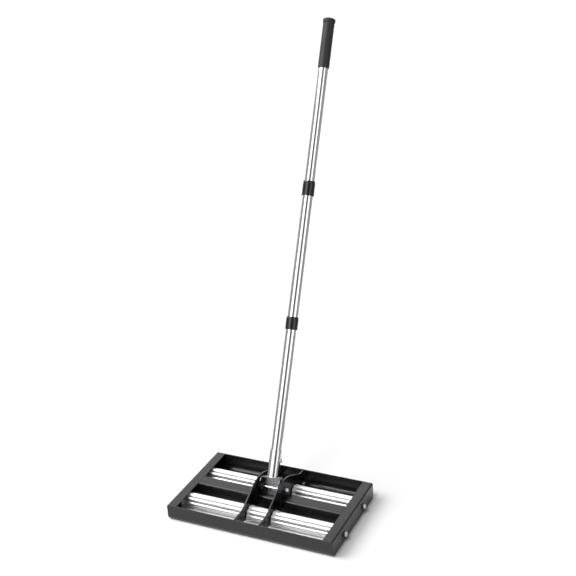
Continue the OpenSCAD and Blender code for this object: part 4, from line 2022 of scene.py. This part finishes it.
@dataclass
class Studio:
    """A pale floor, soft light and the camera.

    Attributes:
        eye: Place of the camera in metres.
        right: Direction of the picture's rows.
        down: Direction of the picture's columns.
        focal_px: Focal length in pixels of the picture.
        picture_px: Side of the square picture.
        sensor_mm: Width of the sensor.
        floor_m: Side of the floor.
        sky: Brightness of the surroundings.
        soft_share: Share of the surroundings' light that falls on matt surfaces.
        overhead: Brightness of the surroundings overhead.
        overhead_span: Sines of the heights between which the surroundings become the overhead ones.
        suns: The broad lights from far away.
        ring: Brightness of the surroundings against the level angle from the camera's side.
        cards: The grey cards that edge the tubes, seen only in reflections.
        boxes: The area lights.
    """

    eye: tuple[float, float, float] = (1.0566, -1.9442, 1.5141)
    right: tuple[float, float, float] = (0.90420, 0.42259, -0.06201)
    down: tuple[float, float, float] = (0.11358, -0.37785, -0.91887)
    focal_px: float = 1079.5
    picture_px: float = 576.0
    sensor_mm: float = 36.0
    floor_m: float = 60.0
    sky: float = 1.0
    soft_share: float = 0.25
    overhead: float = 0.65
    overhead_span: tuple[float, float] = (0.55, 0.85)
    suns: tuple[Lamp, ...] = (
        Lamp("broad_key_light", (-0.68, -0.25, 0.69), 2.8, 42.0),
        Lamp("front_fill_light", (-0.1, -0.5, 0.86), 1.4, 25.0, False),
    )
    ring: tuple[tuple[float, float], ...] = (
        (0.0, 0.06),
        (10.0, 0.1),
        (22.0, 0.95),
        (36.0, 2.05),
        (54.0, 2.2),
        (76.0, 1.05),
        (99.0, 0.4),
        (130.0, 0.5),
        (153.0, 1.3),
        (180.0, 1.35),
    )
    cards: tuple[Card, ...] = (
        Card("right_dark_card", (12.0, 75.0), 0.9, 1.45, FELT),
        Card("left_dark_card", (150.0, 215.0), 1.5, 1.7, FELT),
        Card("grey_floor_card", (0.0, 360.0), 0.32, 0.004, FELT, 2.2),
    )
    boxes: tuple[SoftBox, ...] = (
        SoftBox("overhead_softbox", (-1.0, 0.6, 3.2), (0.0, 0.1, 0.1), (2.4, 2.0), 16.0),
        SoftBox("left_strip_light", (-0.75, -1.7, 1.5), (0.0, 0.3, 0.6), (0.4, 1.6), 8.0),
    )

    def camera(self) -> None:
        """Puts the camera where the picture was taken from."""
        right, up = Vector(self.right).normalized(), -Vector(self.down).normalized()
        back = right.cross(up).normalized()
        up = back.cross(right)
        turn = Matrix((right, up, back)).transposed().to_4x4()
        lens = bpy.data.cameras.new("picture_camera")
        lens.sensor_width = self.sensor_mm
        lens.lens = self.focal_px / self.picture_px * self.sensor_mm
        holder = add_object("picture_camera", lens)
        holder.matrix_world = Matrix.Translation(self.eye) @ turn
        bpy.context.scene.camera = holder

    def floor(self) -> None:
        """Lays the floor."""
        half = self.floor_m / 2
        corners = [(-half, -half, 0), (half, -half, 0), (half, half, 0), (-half, half, 0)]
        mesh = bpy.data.meshes.new("studio_floor")
        mesh.from_pydata(corners, [], [(0, 1, 2, 3)])
        mesh.materials.append(PAPER.material())
        add_object("studio_floor", mesh)

    def world(self) -> None:
        """Lights the surroundings: dark behind the camera, bright beside it, and plain white to look at."""
        sky = bpy.data.worlds.new("studio_surroundings")
        bpy.context.scene.world = sky
        sky.use_nodes = True
        sky.cycles.sampling_method = "NONE"
        tree = sky.node_tree
        way = add_node(tree, "ShaderNodeTexCoord").outputs["Generated"]
        level = add_node(tree, "ShaderNodeVectorMath", {"operation": "MULTIPLY"}, {0: way, 1: (1.0, 1.0, 0.0)})
        unit = add_node(tree, "ShaderNodeVectorMath", {"operation": "NORMALIZE"}, {0: level.outputs["Vector"]})
        ahead = tuple(Vector((self.eye[0], self.eye[1], 0.0)).normalized())
        feeds = {0: unit.outputs["Vector"], 1: ahead}
        toward = add_node(tree, "ShaderNodeVectorMath", {"operation": "DOT_PRODUCT"}, feeds)
        angle = add_node(tree, "ShaderNodeMath", {"operation": "ARCCOSINE"}, {0: toward.outputs["Value"]})
        feeds = {0: angle.outputs["Value"], 1: math.pi}
        share = add_node(tree, "ShaderNodeMath", {"operation": "DIVIDE"}, feeds)
        ramp = add_node(tree, "ShaderNodeValToRGB", feeds={"Fac": share.outputs["Value"]})
        stops = ramp.color_ramp.elements
        while len(stops) < len(self.ring):
            stops.new(0.5)
        for stop, (degrees, light) in zip(stops, self.ring):
            stop.position = degrees / 180
            stop.color = (light, light, light, 1.0)
        height = add_node(tree, "ShaderNodeSeparateXYZ", feeds={0: way}).outputs["Z"]
        low, high = self.overhead_span
        feeds = {"Value": height, "From Min": low, "From Max": high}
        above = add_node(tree, "ShaderNodeMapRange", {"interpolation_type": "SMOOTHSTEP"}, feeds)
        feeds = {0: above.outputs["Result"], 6: ramp.outputs["Color"], 7: (*[self.overhead] * 3, 1.0)}
        mix = add_node(tree, "ShaderNodeMix", {"data_type": "RGBA"}, feeds)
        path = add_node(tree, "ShaderNodeLightPath").outputs
        feeds = {0: path["Is Camera Ray"], 6: mix.outputs[2], 7: (1.0, 1.0, 1.0, 1.0)}
        seen = add_node(tree, "ShaderNodeMix", {"data_type": "RGBA"}, feeds)
        feeds = {"Value": path["Is Diffuse Ray"], "To Min": self.sky, "To Max": self.sky * self.soft_share}
        strength = add_node(tree, "ShaderNodeMapRange", feeds=feeds)
        ground = tree.nodes["Background"]
        tree.links.new(strength.outputs["Result"], ground.inputs["Strength"])
        tree.links.new(seen.outputs[2], ground.inputs["Color"])

    def build(self) -> None:
        """Makes the whole studio."""
        self.camera()
        self.floor()
        self.world()
        for card in self.cards:
            card.stand()
        for light in (*self.suns, *self.boxes):
            light.hang()
        bpy.context.scene.view_settings.view_transform = "Standard"


def main() -> None:
    """Builds the studio and the sub-assemblies in order."""
    logging.basicConfig(level=logging.INFO, format="%(message)s")
    Studio().build()
    HeadFrame().build()
    Rollers().build()
    Fasteners().build()
    yoke = Yoke()
    yoke.build()
    Handle(yoke.stand).build()


if __name__ == "__main__":
    main()
